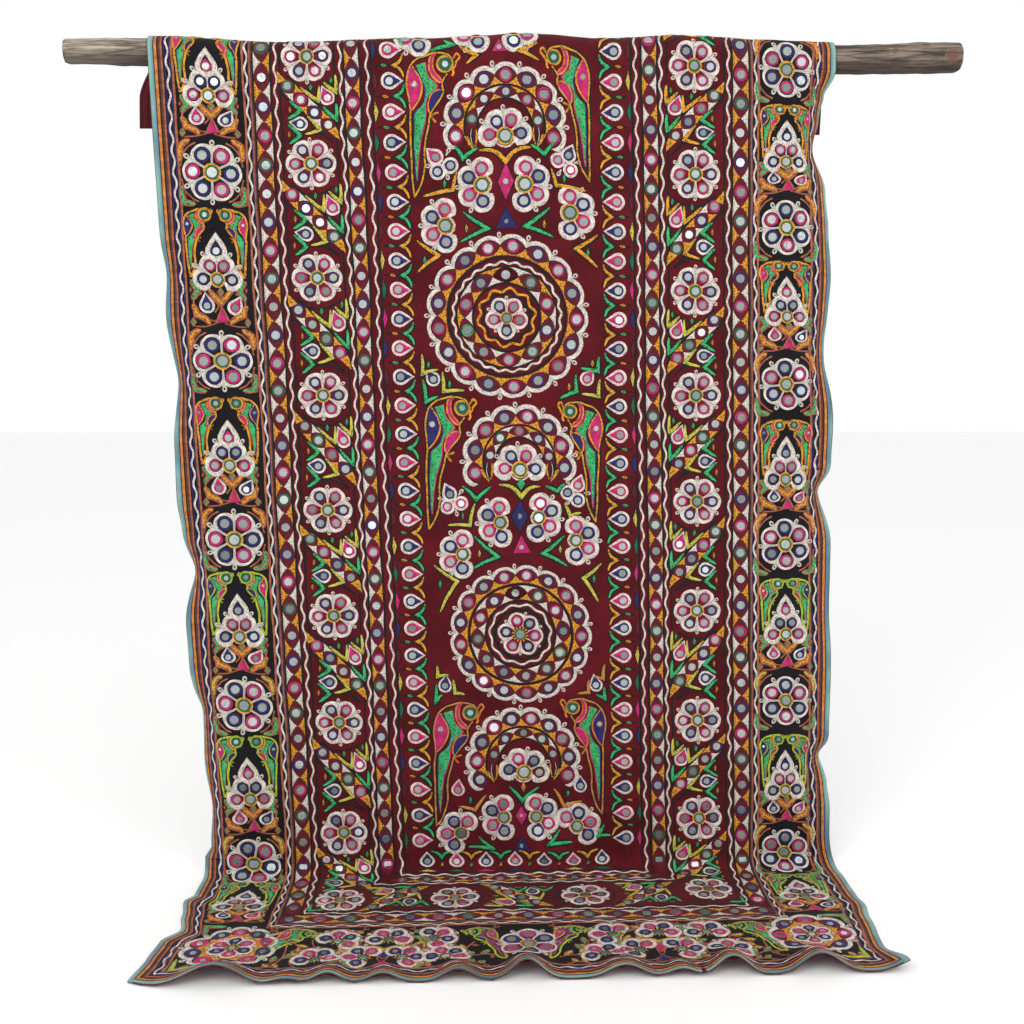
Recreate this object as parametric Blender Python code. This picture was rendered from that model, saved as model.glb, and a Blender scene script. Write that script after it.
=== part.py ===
# Embroidered wall hanging draped over a rough wooden pole.
# The cloth goes up behind the pole as a short flap, over it, down in front to the floor,
# and then lies forward on the floor with a rippled hem.
#
# Frame: origin in the middle of the pole's axis, +X along the pole, +Z up.
# The worked face of the hanging part looks towards -Y.
#
# Every piece of cloth follows one surface, lay(u, s): u runs across the cloth from the middle
# of its centre field, and s runs along it from the top of the pole, down the front being positive.

from collections import namedtuple
import math

import bmesh
import bpy
import numpy as np

# Driving dimensions, in metres
FLOOR_DROP = 1.667
POLE_LENGTH = 1.743
REAR_LENGTH = 0.180
LEFT_EDGE = -0.674
RIGHT_EDGE = 0.655
FLOOR_RUN = 0.420
FLOOR_BEND = 0.035
BINDING_WIDTH = 0.011
LEFT_SEAM = -0.4765
RIGHT_SEAM = 0.4805
FRONT_SEAM = 0.220

# Layers, outward from the side that lies on the pole and on the floor
LINING_THICK = 0.0010
FACE_THICK = 0.0015
GAP = 0.0003
POLE_GAP = 0.0008

# How the cloth hangs
WRAP = 0.043
HANG_Y = -0.0285
BACKSET = 0.015
LEVEL_OVER = 0.8
TOP_SHIFT = -0.038
LEAN = 0.0309
HEM_SHIFT = 0.0045
FOLD_FADE = 0.20
POLE_CLEAR = 0.030

FALL_END = WRAP + FLOOR_DROP - FLOOR_BEND
FLOOR_START = FALL_END + FLOOR_BEND * math.pi / 2
HEM = FLOOR_START + FLOOR_RUN
FALL = FALL_END - WRAP

PoleSection = namedtuple("PoleSection", "x sway rise radius")
POLE_SECTIONS = [
    PoleSection(-0.8715, 0.000, -0.0054, 0.0234),
    PoleSection(-0.7000, 0.002, -0.0055, 0.0262),
    PoleSection(-0.4650, 0.003, -0.0120, 0.0245),
    PoleSection(-0.2150, -0.001, -0.0040, 0.0255),
    PoleSection(0.0280, -0.002, 0.0065, 0.0270),
    PoleSection(0.1620, 0.000, 0.0010, 0.0265),
    PoleSection(0.3240, 0.002, 0.0075, 0.0280),
    PoleSection(0.4860, 0.001, 0.0010, 0.0275),
    PoleSection(0.6300, 0.000, -0.0023, 0.0278),
    PoleSection(0.8715, -0.002, 0.0042, 0.0288),
]

# The side edges turn back by this many degrees at these heights above the floor
EdgeTurn = namedtuple("EdgeTurn", "height degrees")
LEFT_REACH = 0.080
LEFT_TURNS = [
    EdgeTurn(0.020, 0),
    EdgeTurn(0.050, 66),
    EdgeTurn(0.140, 80),
    EdgeTurn(0.230, 62),
    EdgeTurn(0.340, 68),
    EdgeTurn(0.450, 14),
    EdgeTurn(0.540, 10),
    EdgeTurn(0.645, 74),
    EdgeTurn(0.735, 26),
    EdgeTurn(0.800, 0),
    EdgeTurn(0.900, 12),
    EdgeTurn(1.030, 57),
    EdgeTurn(1.165, 16),
    EdgeTurn(1.240, 36),
    EdgeTurn(1.330, 8),
    EdgeTurn(1.620, 0),
]
RIGHT_REACH = 0.100
RIGHT_TURNS = [
    EdgeTurn(0.130, 0),
    EdgeTurn(0.180, 20),
    EdgeTurn(0.235, 54),
    EdgeTurn(0.290, 10),
    EdgeTurn(0.450, 0),
    EdgeTurn(0.560, 16),
    EdgeTurn(0.700, 10),
    EdgeTurn(0.805, 62),
    EdgeTurn(0.865, 12),
    EdgeTurn(0.950, 0),
    EdgeTurn(1.090, 48),
    EdgeTurn(1.250, 22),
    EdgeTurn(1.330, 34),
    EdgeTurn(1.410, 46),
    EdgeTurn(1.500, 86),
    EdgeTurn(1.560, 68),
    EdgeTurn(1.600, 52),
    EdgeTurn(1.645, 0),
]

# Upright folds: out is how far each stands forward, at the pole and near the floor
Fold = namedtuple("Fold", "u width out_top out_low")
FOLDS = [
    Fold(-0.560, 0.070, 0.002, 0.007),
    Fold(-0.330, 0.080, 0.001, -0.006),
    Fold(-0.150, 0.090, 0.000, 0.005),
    Fold(0.060, 0.070, 0.001, -0.005),
    Fold(0.230, 0.080, 0.001, 0.007),
    Fold(0.400, 0.070, 0.002, -0.005),
    Fold(0.540, 0.070, 0.001, 0.007),
]

# Where the hem stands up off the floor, and how far in from the hem each ripple reaches
Ripple = namedtuple("Ripple", "u width lift reach")
RIPPLES = [
    Ripple(-0.548, 0.050, 0.038, 0.095),
    Ripple(-0.430, 0.030, 0.010, 0.090),
    Ripple(-0.358, 0.030, 0.020, 0.110),
    Ripple(-0.262, 0.030, 0.017, 0.100),
    Ripple(-0.130, 0.032, 0.022, 0.110),
    Ripple(-0.008, 0.034, 0.037, 0.120),
    Ripple(0.165, 0.038, 0.023, 0.110),
    Ripple(0.266, 0.028, 0.014, 0.090),
    Ripple(0.356, 0.034, 0.036, 0.120),
    Ripple(0.512, 0.040, 0.038, 0.120),
    Ripple(0.680, 0.048, 0.030, 0.100),
]

# A soft buckle stands up along the crease where the cloth meets the floor
Buckle = namedtuple("Buckle", "u width out before after")
BUCKLES = [
    Buckle(0.075, 0.065, 0.014, 0.050, 0.035),
    Buckle(-0.400, 0.080, 0.006, 0.050, 0.040),
    Buckle(0.420, 0.080, 0.007, 0.050, 0.040),
]

# How far the side edges spread outwards along the floor, from the crease on
Flare = namedtuple("Flare", "past_crease out")
LEFT_FLARE = [
    Flare(0.080, 0.000),
    Flare(0.105, 0.014),
    Flare(0.170, 0.003),
    Flare(0.230, -0.009),
    Flare(0.275, 0.018),
    Flare(0.340, 0.024),
    Flare(0.420, 0.036),
]
RIGHT_FLARE = [
    Flare(-0.095, 0.000),
    Flare(0.020, 0.013),
    Flare(0.120, 0.013),
    Flare(0.150, 0.019),
    Flare(0.210, 0.011),
    Flare(0.330, 0.001),
    Flare(0.420, 0.018),
]
FLARE_IN = 0.17
REAR_FLARE = 0.026
REAR_PUSH = 0.012

# Columns and rows of the cloth's grid
SIDE_COLUMNS = 5
FIELD_COLUMNS = 20
REAR_ROWS = 3
WRAP_ROWS = 8
FALL_ROWS = 19
BEND_ROWS = 4
FLOOR_ROWS = 3
BORDER_ROWS = 5
POLE_SIDES = 2 * WRAP_ROWS

Finish = namedtuple("Finish", "colour roughness")
FINISHES = {
    "maroon_cloth": Finish((0.114, 0.007, 0.014), 0.85),
    "black_cloth": Finish((0.011, 0.009, 0.012), 0.85),
    "ribbon": Finish((0.153, 0.376, 0.376), 0.70),
    "lining_cloth": Finish((0.087, 0.007, 0.013), 0.90),
    "rear_hem": Finish((0.014, 0.012, 0.016), 0.90),
    "bark": Finish((0.150, 0.125, 0.105), 0.90),
}


def clear_scene():
    for item in list(bpy.data.objects):
        bpy.data.objects.remove(item, do_unlink=True)


def eased(t):
    t = np.clip(t, 0.0, 1.0)
    return t * t * (3.0 - 2.0 * t)


def bump(distance, width):
    return np.exp(-((distance / width) ** 2))


def column(rows, at, name):
    # Reads one named column of a table, easing from each row to the next
    table = np.array(rows, dtype=float)
    places = table[:, 0]
    values = table[:, rows[0]._fields.index(name)]
    at = np.clip(at, places[0], places[-1])
    row = np.clip(np.searchsorted(places, at, side="right") - 1, 0, len(places) - 2)
    t = eased((at - places[row]) / (places[row + 1] - places[row]))
    return values[row] * (1.0 - t) + values[row + 1] * t


def sideways(s):
    # The cloth hangs a little askew, and comes straight again on the floor
    floor_start_shift = TOP_SHIFT + LEAN * FLOOR_START
    along_floor = (s - FLOOR_START) / FLOOR_RUN
    on_floor = floor_start_shift + (HEM_SHIFT - floor_start_shift) * along_floor
    return np.where(s < FLOOR_START, TOP_SHIFT + LEAN * s, on_floor)


def edge_curl(u, height):
    # Sideways and backward offsets of the edges where they turn back
    right = u > 0
    turns = np.where(right, column(RIGHT_TURNS, height, "degrees"), column(LEFT_TURNS, height, "degrees"))
    turn = np.maximum(np.radians(turns), 1e-4)
    reach = np.where(right, RIGHT_REACH, LEFT_REACH)
    from_edge = np.where(right, RIGHT_EDGE - u, u - LEFT_EDGE)
    part = np.clip(1.0 - from_edge / reach, 0.0, 1.0)
    inward = reach * (part - np.sin(turn * part) / turn)
    back = reach * (1.0 - np.cos(turn * part)) / turn
    return np.where(right, -inward, inward), back


def folds_out(u, down):
    # How far the folds stand forward, down being the share of the fall
    out = np.zeros_like(u)
    for fold in FOLDS:
        size = fold.out_top + (fold.out_low - fold.out_top) * down
        out = out + size * bump(u - fold.u, fold.width)
    near_pole = eased(down * FALL / FOLD_FADE)
    near_floor = eased((1.0 - down) * FALL / FOLD_FADE)
    return out * near_pole * near_floor


def ripple_lift(u, s):
    lift = np.zeros_like(u)
    for ripple in RIPPLES:
        inward = eased((s - HEM + ripple.reach) / ripple.reach)
        lift = lift + ripple.lift * bump(u - ripple.u, ripple.width) * inward
    return np.where(s > FLOOR_START, lift, 0.0)


def buckle_out(u, s):
    out = np.zeros_like(u)
    for buckle in BUCKLES:
        past = s - FALL_END
        along = np.where(past < 0, bump(past, buckle.before), bump(past, buckle.after))
        out = out + buckle.out * bump(u - buckle.u, buckle.width) * along
    return out * eased((FLOOR_START + 0.06 - s) / 0.06)


def floor_flare(u, s):
    past = s - FLOOR_START
    left = column(LEFT_FLARE, past, "out") * eased((LEFT_EDGE + FLARE_IN - u) / FLARE_IN)
    right = column(RIGHT_FLARE, past, "out") * eased((u - RIGHT_EDGE + FLARE_IN) / FLARE_IN)
    return right - left


def lay(u, s):
    # Point of the cloth's hidden side, across at u and along at s
    u, s = np.broadcast_arrays(np.asarray(u, float), np.asarray(s, float))
    over = u + TOP_SHIFT
    sway = column(POLE_SECTIONS, over, "sway")
    rise = column(POLE_SECTIONS, over, "rise")
    radius = column(POLE_SECTIONS, over, "radius") + POLE_GAP
    x = u + sideways(s)

    # Over the pole
    angle = np.clip(s / WRAP, -1.0, 1.0) * math.pi / 2
    y = sway - radius * np.sin(angle)
    z = rise + radius * np.cos(angle)

    # Down the front
    down = np.clip(s - WRAP, 0.0, FALL)
    level = eased(down / LEVEL_OVER)
    front = (HANG_Y + BACKSET * down / FALL) - (sway - radius)
    y = y + front * level
    z = z - down - rise * level * (s > WRAP)
    inward, back = edge_curl(u, FLOOR_DROP - down)
    falling = s > WRAP
    x = x + np.where(falling, inward, 0.0)
    y = y + np.where(falling, back - folds_out(u, down / FALL), 0.0)

    # Round the bend and forward along the floor
    turn = np.clip(s - FALL_END, 0.0, FLOOR_START - FALL_END) / FLOOR_BEND
    flat = np.clip(s - FLOOR_START, 0.0, None)
    y = y - FLOOR_BEND * (1.0 - np.cos(turn)) - flat
    z = z - FLOOR_BEND * np.sin(turn)
    buckle = buckle_out(u, s)
    y = y - buckle * np.cos(turn)
    z = z + buckle * np.sin(turn) + ripple_lift(u, s)
    x = x + floor_flare(u, s)

    # Down the back of the pole
    rear = np.clip(-s - WRAP, 0.0, None)
    rear_share = eased(rear / 0.08)
    z = z - rear
    x = x - REAR_FLARE * rear_share * eased((-0.45 - u) / 0.2)
    y = y + REAR_PUSH * rear_share * eased((u - 0.45) / 0.2)
    return np.stack([x, y, z], axis=-1)


def outward(u, s):
    # Unit normal on the worked side
    step = 1e-4
    across = lay(u + step, s) - lay(u - step, s)
    along = lay(u, s + step) - lay(u, s - step)
    normal = np.cross(along, across)
    return normal / np.linalg.norm(normal, axis=-1, keepdims=True)


def material(name):
    found = bpy.data.materials.get(name)
    if found:
        return found
    finish = FINISHES[name]
    made = bpy.data.materials.new(name)
    made.use_nodes = True
    shader = made.node_tree.nodes["Principled BSDF"]
    shader.inputs["Base Color"].default_value = (*finish.colour, 1.0)
    shader.inputs["Roughness"].default_value = finish.roughness
    shader.inputs["Metallic"].default_value = 0.0
    return made


def add_object(name, points, faces, finish):
    mesh = bpy.data.meshes.new(name)
    mesh.from_pydata([tuple(p) for p in points], [], faces)
    shape = bmesh.new()
    shape.from_mesh(mesh)
    bmesh.ops.recalc_face_normals(shape, faces=shape.faces)
    shape.to_mesh(mesh)
    shape.free()
    mesh.materials.append(material(finish))
    mesh.shade_smooth()
    mesh.set_sharp_from_angle(angle=math.radians(50))
    item = bpy.data.objects.new(name, mesh)
    bpy.context.scene.collection.objects.link(item)
    return item


def sheet(name, columns, rows, inner, outer, finish):
    # A closed sheet between two distances out from the hidden side
    u, s = np.meshgrid(columns, rows, indexing="ij")
    base = lay(u, s)
    normal = outward(u, s)
    across, along = u.shape
    points = np.concatenate([
        (base + normal * inner).reshape(-1, 3),
        (base + normal * outer).reshape(-1, 3),
    ])
    size = across * along

    def at(i, j, layer):
        return layer * size + i * along + j

    # Every square is split the same way in every sheet, so that neighbours stay parallel
    faces = []

    def square(a, b, c, d):
        faces.extend([[a, b, c], [a, c, d]])

    for i in range(across - 1):
        for j in range(along - 1):
            square(at(i, j, 1), at(i + 1, j, 1), at(i + 1, j + 1, 1), at(i, j + 1, 1))
            square(at(i, j, 0), at(i + 1, j, 0), at(i + 1, j + 1, 0), at(i, j + 1, 0))
    for i in range(across - 1):
        for j in (0, along - 1):
            square(at(i, j, 0), at(i + 1, j, 0), at(i + 1, j, 1), at(i, j, 1))
    for j in range(along - 1):
        for i in (0, across - 1):
            square(at(i, j, 0), at(i, j + 1, 0), at(i, j + 1, 1), at(i, j, 1))
    return add_object(name, points, faces, finish)


def pole(cloth_columns):
    # Rings stand at the cloth's own columns, so that the two keep their distance
    ends = POLE_LENGTH / 2
    under_cloth = np.asarray(cloth_columns) + TOP_SHIFT
    left = np.linspace(-ends, under_cloth[0], 5)[:-1]
    right = np.linspace(under_cloth[-1], ends, 6)[1:]
    rings = np.concatenate([left, under_cloth, right])
    points = []
    for x in rings:
        sway = float(column(POLE_SECTIONS, x, "sway"))
        rise = float(column(POLE_SECTIONS, x, "rise"))
        radius = float(column(POLE_SECTIONS, x, "radius"))
        for k in range(POLE_SIDES):
            angle = 2 * math.pi * k / POLE_SIDES
            points.append((x, sway + radius * math.sin(angle), rise + radius * math.cos(angle)))
    faces = [list(range(POLE_SIDES)), list(range(len(points) - POLE_SIDES, len(points)))]
    for ring in range(len(rings) - 1):
        for k in range(POLE_SIDES):
            nxt = (k + 1) % POLE_SIDES
            near, far = ring * POLE_SIDES, (ring + 1) * POLE_SIDES
            faces.append([near + k, near + nxt, far + nxt, far + k])
    add_object("pole", points, faces, "bark")


def stretch(start, end, count):
    return list(np.linspace(start, end, count + 1))


def build_hanging():
    half = GAP / 2
    inner_left = LEFT_EDGE + BINDING_WIDTH
    inner_right = RIGHT_EDGE - BINDING_WIDTH
    left_side = stretch(inner_left + half, LEFT_SEAM - half, SIDE_COLUMNS)
    field = stretch(LEFT_SEAM + half, RIGHT_SEAM - half, FIELD_COLUMNS)
    right_side = stretch(RIGHT_SEAM + half, inner_right - half, SIDE_COLUMNS)
    body = left_side[:-1] + [LEFT_SEAM] + field[1:-1] + [RIGHT_SEAM] + right_side[1:]
    full = [LEFT_EDGE, inner_left] + body[1:-1] + [inner_right, RIGHT_EDGE]

    rear_inner = -REAR_LENGTH + BINDING_WIDTH
    hem_inner = HEM - BINDING_WIDTH
    seam = HEM - FRONT_SEAM
    upper = stretch(rear_inner + half, -WRAP, REAR_ROWS)[:-1]
    upper += stretch(-WRAP, WRAP, WRAP_ROWS)[:-1]
    upper += [WRAP] + stretch(WRAP + POLE_CLEAR, FALL_END, FALL_ROWS)[:-1]
    upper += stretch(FALL_END, FLOOR_START, BEND_ROWS)[:-1]
    upper += stretch(FLOOR_START, seam - half, FLOOR_ROWS)
    lower = stretch(seam + half, hem_inner - half, BORDER_ROWS)
    sides = upper[:-1] + [seam] + lower[1:]
    whole = sides[:-1] + [hem_inner, HEM]

    face_in = LINING_THICK + GAP
    face_out = face_in + FACE_THICK
    sheet("lining", full, whole, 0.0, LINING_THICK, "lining_cloth")
    sheet("field_panel", field, upper, face_in, face_out, "maroon_cloth")
    sheet("border_left", left_side, upper, face_in, face_out, "black_cloth")
    sheet("border_right", right_side, upper, face_in, face_out, "black_cloth")
    sheet("border_front", body, lower, face_in, face_out, "black_cloth")
    sheet("binding_left", [LEFT_EDGE, inner_left - half], sides, face_in, face_out, "ribbon")
    sheet("binding_right", [inner_right + half, RIGHT_EDGE], sides, face_in, face_out, "ribbon")
    sheet("binding_front", full, [hem_inner + half, HEM], face_in, face_out, "ribbon")
    sheet("binding_back", full, [-REAR_LENGTH, rear_inner - half], 0.0, face_out, "rear_hem")
    pole(full)


clear_scene()
build_hanging()
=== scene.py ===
import math
import bpy
import numpy as np
from mathutils import Matrix


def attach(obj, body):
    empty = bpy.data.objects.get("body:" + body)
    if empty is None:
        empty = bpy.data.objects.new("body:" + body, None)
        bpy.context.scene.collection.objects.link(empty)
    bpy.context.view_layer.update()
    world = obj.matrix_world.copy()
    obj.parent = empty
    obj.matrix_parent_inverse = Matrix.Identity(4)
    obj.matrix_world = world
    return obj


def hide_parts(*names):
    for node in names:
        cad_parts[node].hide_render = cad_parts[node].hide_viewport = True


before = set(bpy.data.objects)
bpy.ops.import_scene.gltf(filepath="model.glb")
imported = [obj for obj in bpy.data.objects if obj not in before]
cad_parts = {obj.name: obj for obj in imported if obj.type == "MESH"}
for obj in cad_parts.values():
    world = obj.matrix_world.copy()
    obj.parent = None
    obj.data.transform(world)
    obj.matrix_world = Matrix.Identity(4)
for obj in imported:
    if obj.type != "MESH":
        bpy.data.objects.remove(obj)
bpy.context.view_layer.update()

mm = 0.001

# The cloth as it was cut and as it hangs, the same sizes as its solids have
floorDrop = 1.667
rearLength = 0.180
leftEdge = -0.674
rightEdge = 0.655
floorRun = 0.420
floorBend = 0.035
bindingWidth = 0.011
leftSeam = -0.4765
rightSeam = 0.4805
frontSeam = 0.220
poleGap = 0.0008
wrap = 0.043
hangY = -0.0285
backset = 0.015
levelOver = 0.8
topShift = -0.038
lean = 0.0309
hemShift = 0.0045
foldFade = 0.20
fallEnd = wrap + floorDrop - floorBend
floorStart = fallEnd + floorBend * math.pi / 2
hem = floorStart + floorRun
fall = fallEnd - wrap
liningTop = 0.0010
faceUnder = 0.0013
faceTop = 0.0028
seamGap = 0.0003

# Along the pole: x, sway, rise and radius
poleSections = [
    (-0.8715, 0.000, -0.0054, 0.0234),
    (-0.700, 0.002, -0.0055, 0.0262),
    (-0.465, 0.003, -0.0120, 0.0245),
    (-0.215, -0.001, -0.0040, 0.0255),
    (0.028, -0.002, 0.0065, 0.0270),
    (0.162, 0.000, 0.0010, 0.0265),
    (0.324, 0.002, 0.0075, 0.0280),
    (0.486, 0.001, 0.0010, 0.0275),
    (0.630, 0.000, -0.0023, 0.0278),
    (0.8715, -0.002, 0.0042, 0.0288),
]

# How far each side edge has turned back, in degrees, at heights above the floor
leftReach = 0.080
leftTurns = [
    (0.020, 0), (0.050, 66), (0.140, 80), (0.230, 62), (0.340, 68), (0.450, 14), (0.540, 10), (0.645, 74),
    (0.735, 26), (0.800, 0), (0.900, 12), (1.030, 57), (1.165, 16), (1.240, 36), (1.330, 8), (1.620, 0),
]
rightReach = 0.100
rightTurns = [
    (0.130, 0), (0.180, 20), (0.235, 54), (0.290, 10), (0.450, 0), (0.560, 16), (0.700, 10), (0.805, 62),
    (0.865, 12), (0.950, 0), (1.090, 48), (1.250, 22), (1.330, 34), (1.410, 46), (1.500, 86), (1.560, 68),
    (1.600, 52), (1.645, 0),
]

# Upright folds: place, width, and how far each stands out at the pole and near the floor
folds = [
    (-0.560, 0.070, 0.002, 0.007), (-0.330, 0.080, 0.001, -0.006), (-0.150, 0.090, 0.000, 0.005),
    (0.060, 0.070, 0.001, -0.005), (0.230, 0.080, 0.001, 0.007), (0.400, 0.070, 0.002, -0.005),
    (0.540, 0.070, 0.001, 0.007),
]

# Hem ripples: place, width, lift and how far in from the hem
ripples = [
    (-0.548, 0.050, 0.038, 0.095), (-0.430, 0.030, 0.010, 0.090), (-0.358, 0.030, 0.020, 0.110),
    (-0.262, 0.030, 0.017, 0.100), (-0.130, 0.032, 0.022, 0.110), (-0.008, 0.034, 0.037, 0.120),
    (0.165, 0.038, 0.023, 0.110), (0.266, 0.028, 0.014, 0.090), (0.356, 0.034, 0.036, 0.120),
    (0.512, 0.040, 0.038, 0.120), (0.680, 0.048, 0.030, 0.100),
]

# Buckles at the floor crease: place, width, out, reach before and after
buckles = [
    (0.075, 0.065, 0.014, 0.050, 0.035), (-0.400, 0.080, 0.006, 0.050, 0.040),
    (0.420, 0.080, 0.007, 0.050, 0.040),
]

# How far the side edges spread along the floor past the crease
leftFlare = [
    (0.080, 0.000), (0.105, 0.014), (0.170, 0.003), (0.230, -0.009), (0.275, 0.018), (0.340, 0.024),
    (0.420, 0.036),
]
rightFlare = [
    (-0.095, 0.000), (0.020, 0.013), (0.120, 0.013), (0.150, 0.019), (0.210, 0.011), (0.330, 0.001),
    (0.420, 0.018),
]
flareIn = 0.17
rearFlare = 0.026
rearPush = 0.012


def eased(t):
    t = np.clip(t, 0.0, 1.0)
    return t * t * (3.0 - 2.0 * t)


def bump(distance, width):
    return np.exp(-((distance / width) ** 2))


def column(rows, at, index=1):
    table = np.array(rows, dtype=float)
    places = table[:, 0]
    values = table[:, index]
    at = np.clip(at, places[0], places[-1])
    row = np.clip(np.searchsorted(places, at, side="right") - 1, 0, len(places) - 2)
    t = eased((at - places[row]) / (places[row + 1] - places[row]))
    return values[row] * (1.0 - t) + values[row + 1] * t


def sideways(s):
    startShift = topShift + lean * floorStart
    alongFloor = (s - floorStart) / floorRun
    onFloor = startShift + (hemShift - startShift) * alongFloor
    return np.where(s < floorStart, topShift + lean * s, onFloor)


def edgeCurl(u, height):
    right = u > 0
    turns = np.where(right, column(rightTurns, height), column(leftTurns, height))
    turn = np.maximum(np.radians(turns), 1e-4)
    reach = np.where(right, rightReach, leftReach)
    fromEdge = np.where(right, rightEdge - u, u - leftEdge)
    part = np.clip(1.0 - fromEdge / reach, 0.0, 1.0)
    inward = reach * (part - np.sin(turn * part) / turn)
    back = reach * (1.0 - np.cos(turn * part)) / turn
    return np.where(right, -inward, inward), back


def foldsOut(u, down):
    out = np.zeros_like(u)
    for place, width, outTop, outLow in folds:
        out = out + (outTop + (outLow - outTop) * down) * bump(u - place, width)
    return out * eased(down * fall / foldFade) * eased((1.0 - down) * fall / foldFade)


def rippleLift(u, s):
    lift = np.zeros_like(u)
    for place, width, height, reach in ripples:
        lift = lift + height * bump(u - place, width) * eased((s - hem + reach) / reach)
    return np.where(s > floorStart, lift, 0.0)


def buckleOut(u, s):
    out = np.zeros_like(u)
    past = s - fallEnd
    for place, width, size, before, after in buckles:
        along = np.where(past < 0, bump(past, before), bump(past, after))
        out = out + size * bump(u - place, width) * along
    return out * eased((floorStart + 0.06 - s) / 0.06)


def floorFlare(u, s):
    past = s - floorStart
    left = column(leftFlare, past) * eased((leftEdge + flareIn - u) / flareIn)
    right = column(rightFlare, past) * eased((u - rightEdge + flareIn) / flareIn)
    return right - left


# Point of the cloth's hidden side, across at u and along at s
def layCloth(u, s):
    over = u + topShift
    sway = column(poleSections, over, 1)
    rise = column(poleSections, over, 2)
    radius = column(poleSections, over, 3) + poleGap
    x = u + sideways(s)
    angle = np.clip(s / wrap, -1.0, 1.0) * math.pi / 2
    y = sway - radius * np.sin(angle)
    z = rise + radius * np.cos(angle)

    down = np.clip(s - wrap, 0.0, fall)
    level = eased(down / levelOver)
    front = (hangY + backset * down / fall) - (sway - radius)
    y = y + front * level
    z = z - down - rise * level * (s > wrap)
    inward, back = edgeCurl(u, floorDrop - down)
    falling = s > wrap
    x = x + np.where(falling, inward, 0.0)
    y = y + np.where(falling, back - foldsOut(u, down / fall), 0.0)

    turn = np.clip(s - fallEnd, 0.0, floorStart - fallEnd) / floorBend
    flat = np.clip(s - floorStart, 0.0, None)
    buckle = buckleOut(u, s)
    y = y - floorBend * (1.0 - np.cos(turn)) - flat - buckle * np.cos(turn)
    z = z - floorBend * np.sin(turn) + buckle * np.sin(turn) + rippleLift(u, s)
    x = x + floorFlare(u, s)

    rear = np.clip(-s - wrap, 0.0, None)
    rearShare = eased(rear / 0.08)
    z = z - rear
    x = x - rearFlare * rearShare * eased((-0.45 - u) / 0.2)
    y = y + rearPush * rearShare * eased((u - 0.45) / 0.2)
    return np.stack([x, y, z], axis=-1)


# Small creases that stand up from the cloth: from and to on the cloth, width and height
creases = [
    (-0.14, 0.07, -0.05, 0.13, 0.006, 0.0016), (0.02, 0.10, 0.13, 0.13, 0.006, 0.0014),
    (-0.19, 0.14, -0.10, 0.17, 0.006, 0.0014), (0.20, 0.44, 0.27, 0.40, 0.008, 0.0015),
    (0.10, 0.60, 0.26, 0.62, 0.010, 0.0014), (-0.25, 0.72, -0.06, 0.70, 0.010, 0.0014),
    (-0.05, 1.03, 0.22, 1.08, 0.012, 0.0016), (-0.22, 1.30, 0.02, 1.34, 0.012, 0.0015),
    (-0.30, 1.56, 0.00, 1.62, 0.014, 0.0018), (0.05, 1.60, 0.34, 1.57, 0.014, 0.0018),
    (-0.45, 1.62, -0.38, 1.48, 0.012, 0.0016), (0.36, 1.64, 0.44, 1.44, 0.012, 0.0016),
    (-0.58, 0.55, -0.53, 0.75, 0.014, 0.0016), (0.52, 0.32, 0.57, 0.55, 0.014, 0.0016),
]


# Height of the soft puckers that the stitching draws up in the cloth
def puckers(u, s):
    wave = np.sin(61 * u + 3.1 * np.sin(17 * s)) + np.sin(83 * s + 2.3 * np.sin(29 * u))
    wave = wave + 0.7 * np.sin(127 * u - 93 * s + 1.3)
    height = 0.00022 * (wave + 2.7)
    for u0, s0, u1, s1, width, tall in creases:
        alongU, alongS = u1 - u0, s1 - s0
        t = np.clip(((u - u0) * alongU + (s - s0) * alongS) / (alongU**2 + alongS**2), 0.0, 1.0)
        away = np.hypot(u - u0 - t * alongU, s - s0 - t * alongS)
        height = height + tall * bump(away, width) * np.sin(math.pi * np.clip(t, 0.03, 0.97))
    return height


# World point of a place on the cloth, at a height over its hidden side
def placeOnCloth(u, s, height):
    step = 1e-4
    across = layCloth(u + step, s) - layCloth(u - step, s)
    along = layCloth(u, s + step) - layCloth(u, s - step)
    normal = np.cross(along, across)
    normal /= np.linalg.norm(normal, axis=-1, keepdims=True)
    return layCloth(u, s) + normal * (height + puckers(u, s))[..., None]


def linear(red, green, blue):
    values = np.array([red, green, blue]) / 255.0
    return tuple(np.where(values <= 0.04045, values / 12.92, ((values + 0.055) / 1.055) ** 2.4))


scenePieces = []


def meshPiece(name, points, faces, uvs, material, smooth=True):
    mesh = bpy.data.meshes.new(name)
    mesh.vertices.add(len(points))
    mesh.vertices.foreach_set("co", np.ascontiguousarray(points, dtype=np.float32).ravel())
    mesh.loops.add(faces.size)
    mesh.loops.foreach_set("vertex_index", np.ascontiguousarray(faces, dtype=np.int32).ravel())
    mesh.polygons.add(len(faces))
    mesh.polygons.foreach_set("loop_start", np.arange(len(faces), dtype=np.int32) * faces.shape[1])
    mesh.polygons.foreach_set("use_smooth", np.full(len(faces), smooth))
    layer = mesh.uv_layers.new(name="Cloth metres")
    layer.data.foreach_set("uv", np.ascontiguousarray(uvs[faces.ravel()], dtype=np.float32).ravel())
    mesh.update(calc_edges=True)
    mesh.validate()
    piece = bpy.data.objects.new(name, mesh)
    bpy.context.scene.collection.objects.link(piece)
    piece.data.materials.append(material)
    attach(piece, "root")
    scenePieces.append(piece)
    return piece


# Node groups


def newGroup(name, inputs, outputs):
    group = bpy.data.node_groups.new(name, "ShaderNodeTree")
    for label, kind, value in inputs:
        socket = group.interface.new_socket(label, in_out="INPUT", socket_type=kind)
        socket.default_value = value
    for label, kind in outputs:
        group.interface.new_socket(label, in_out="OUTPUT", socket_type=kind)
    return group, group.nodes.new("NodeGroupInput"), group.nodes.new("NodeGroupOutput")


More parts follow.
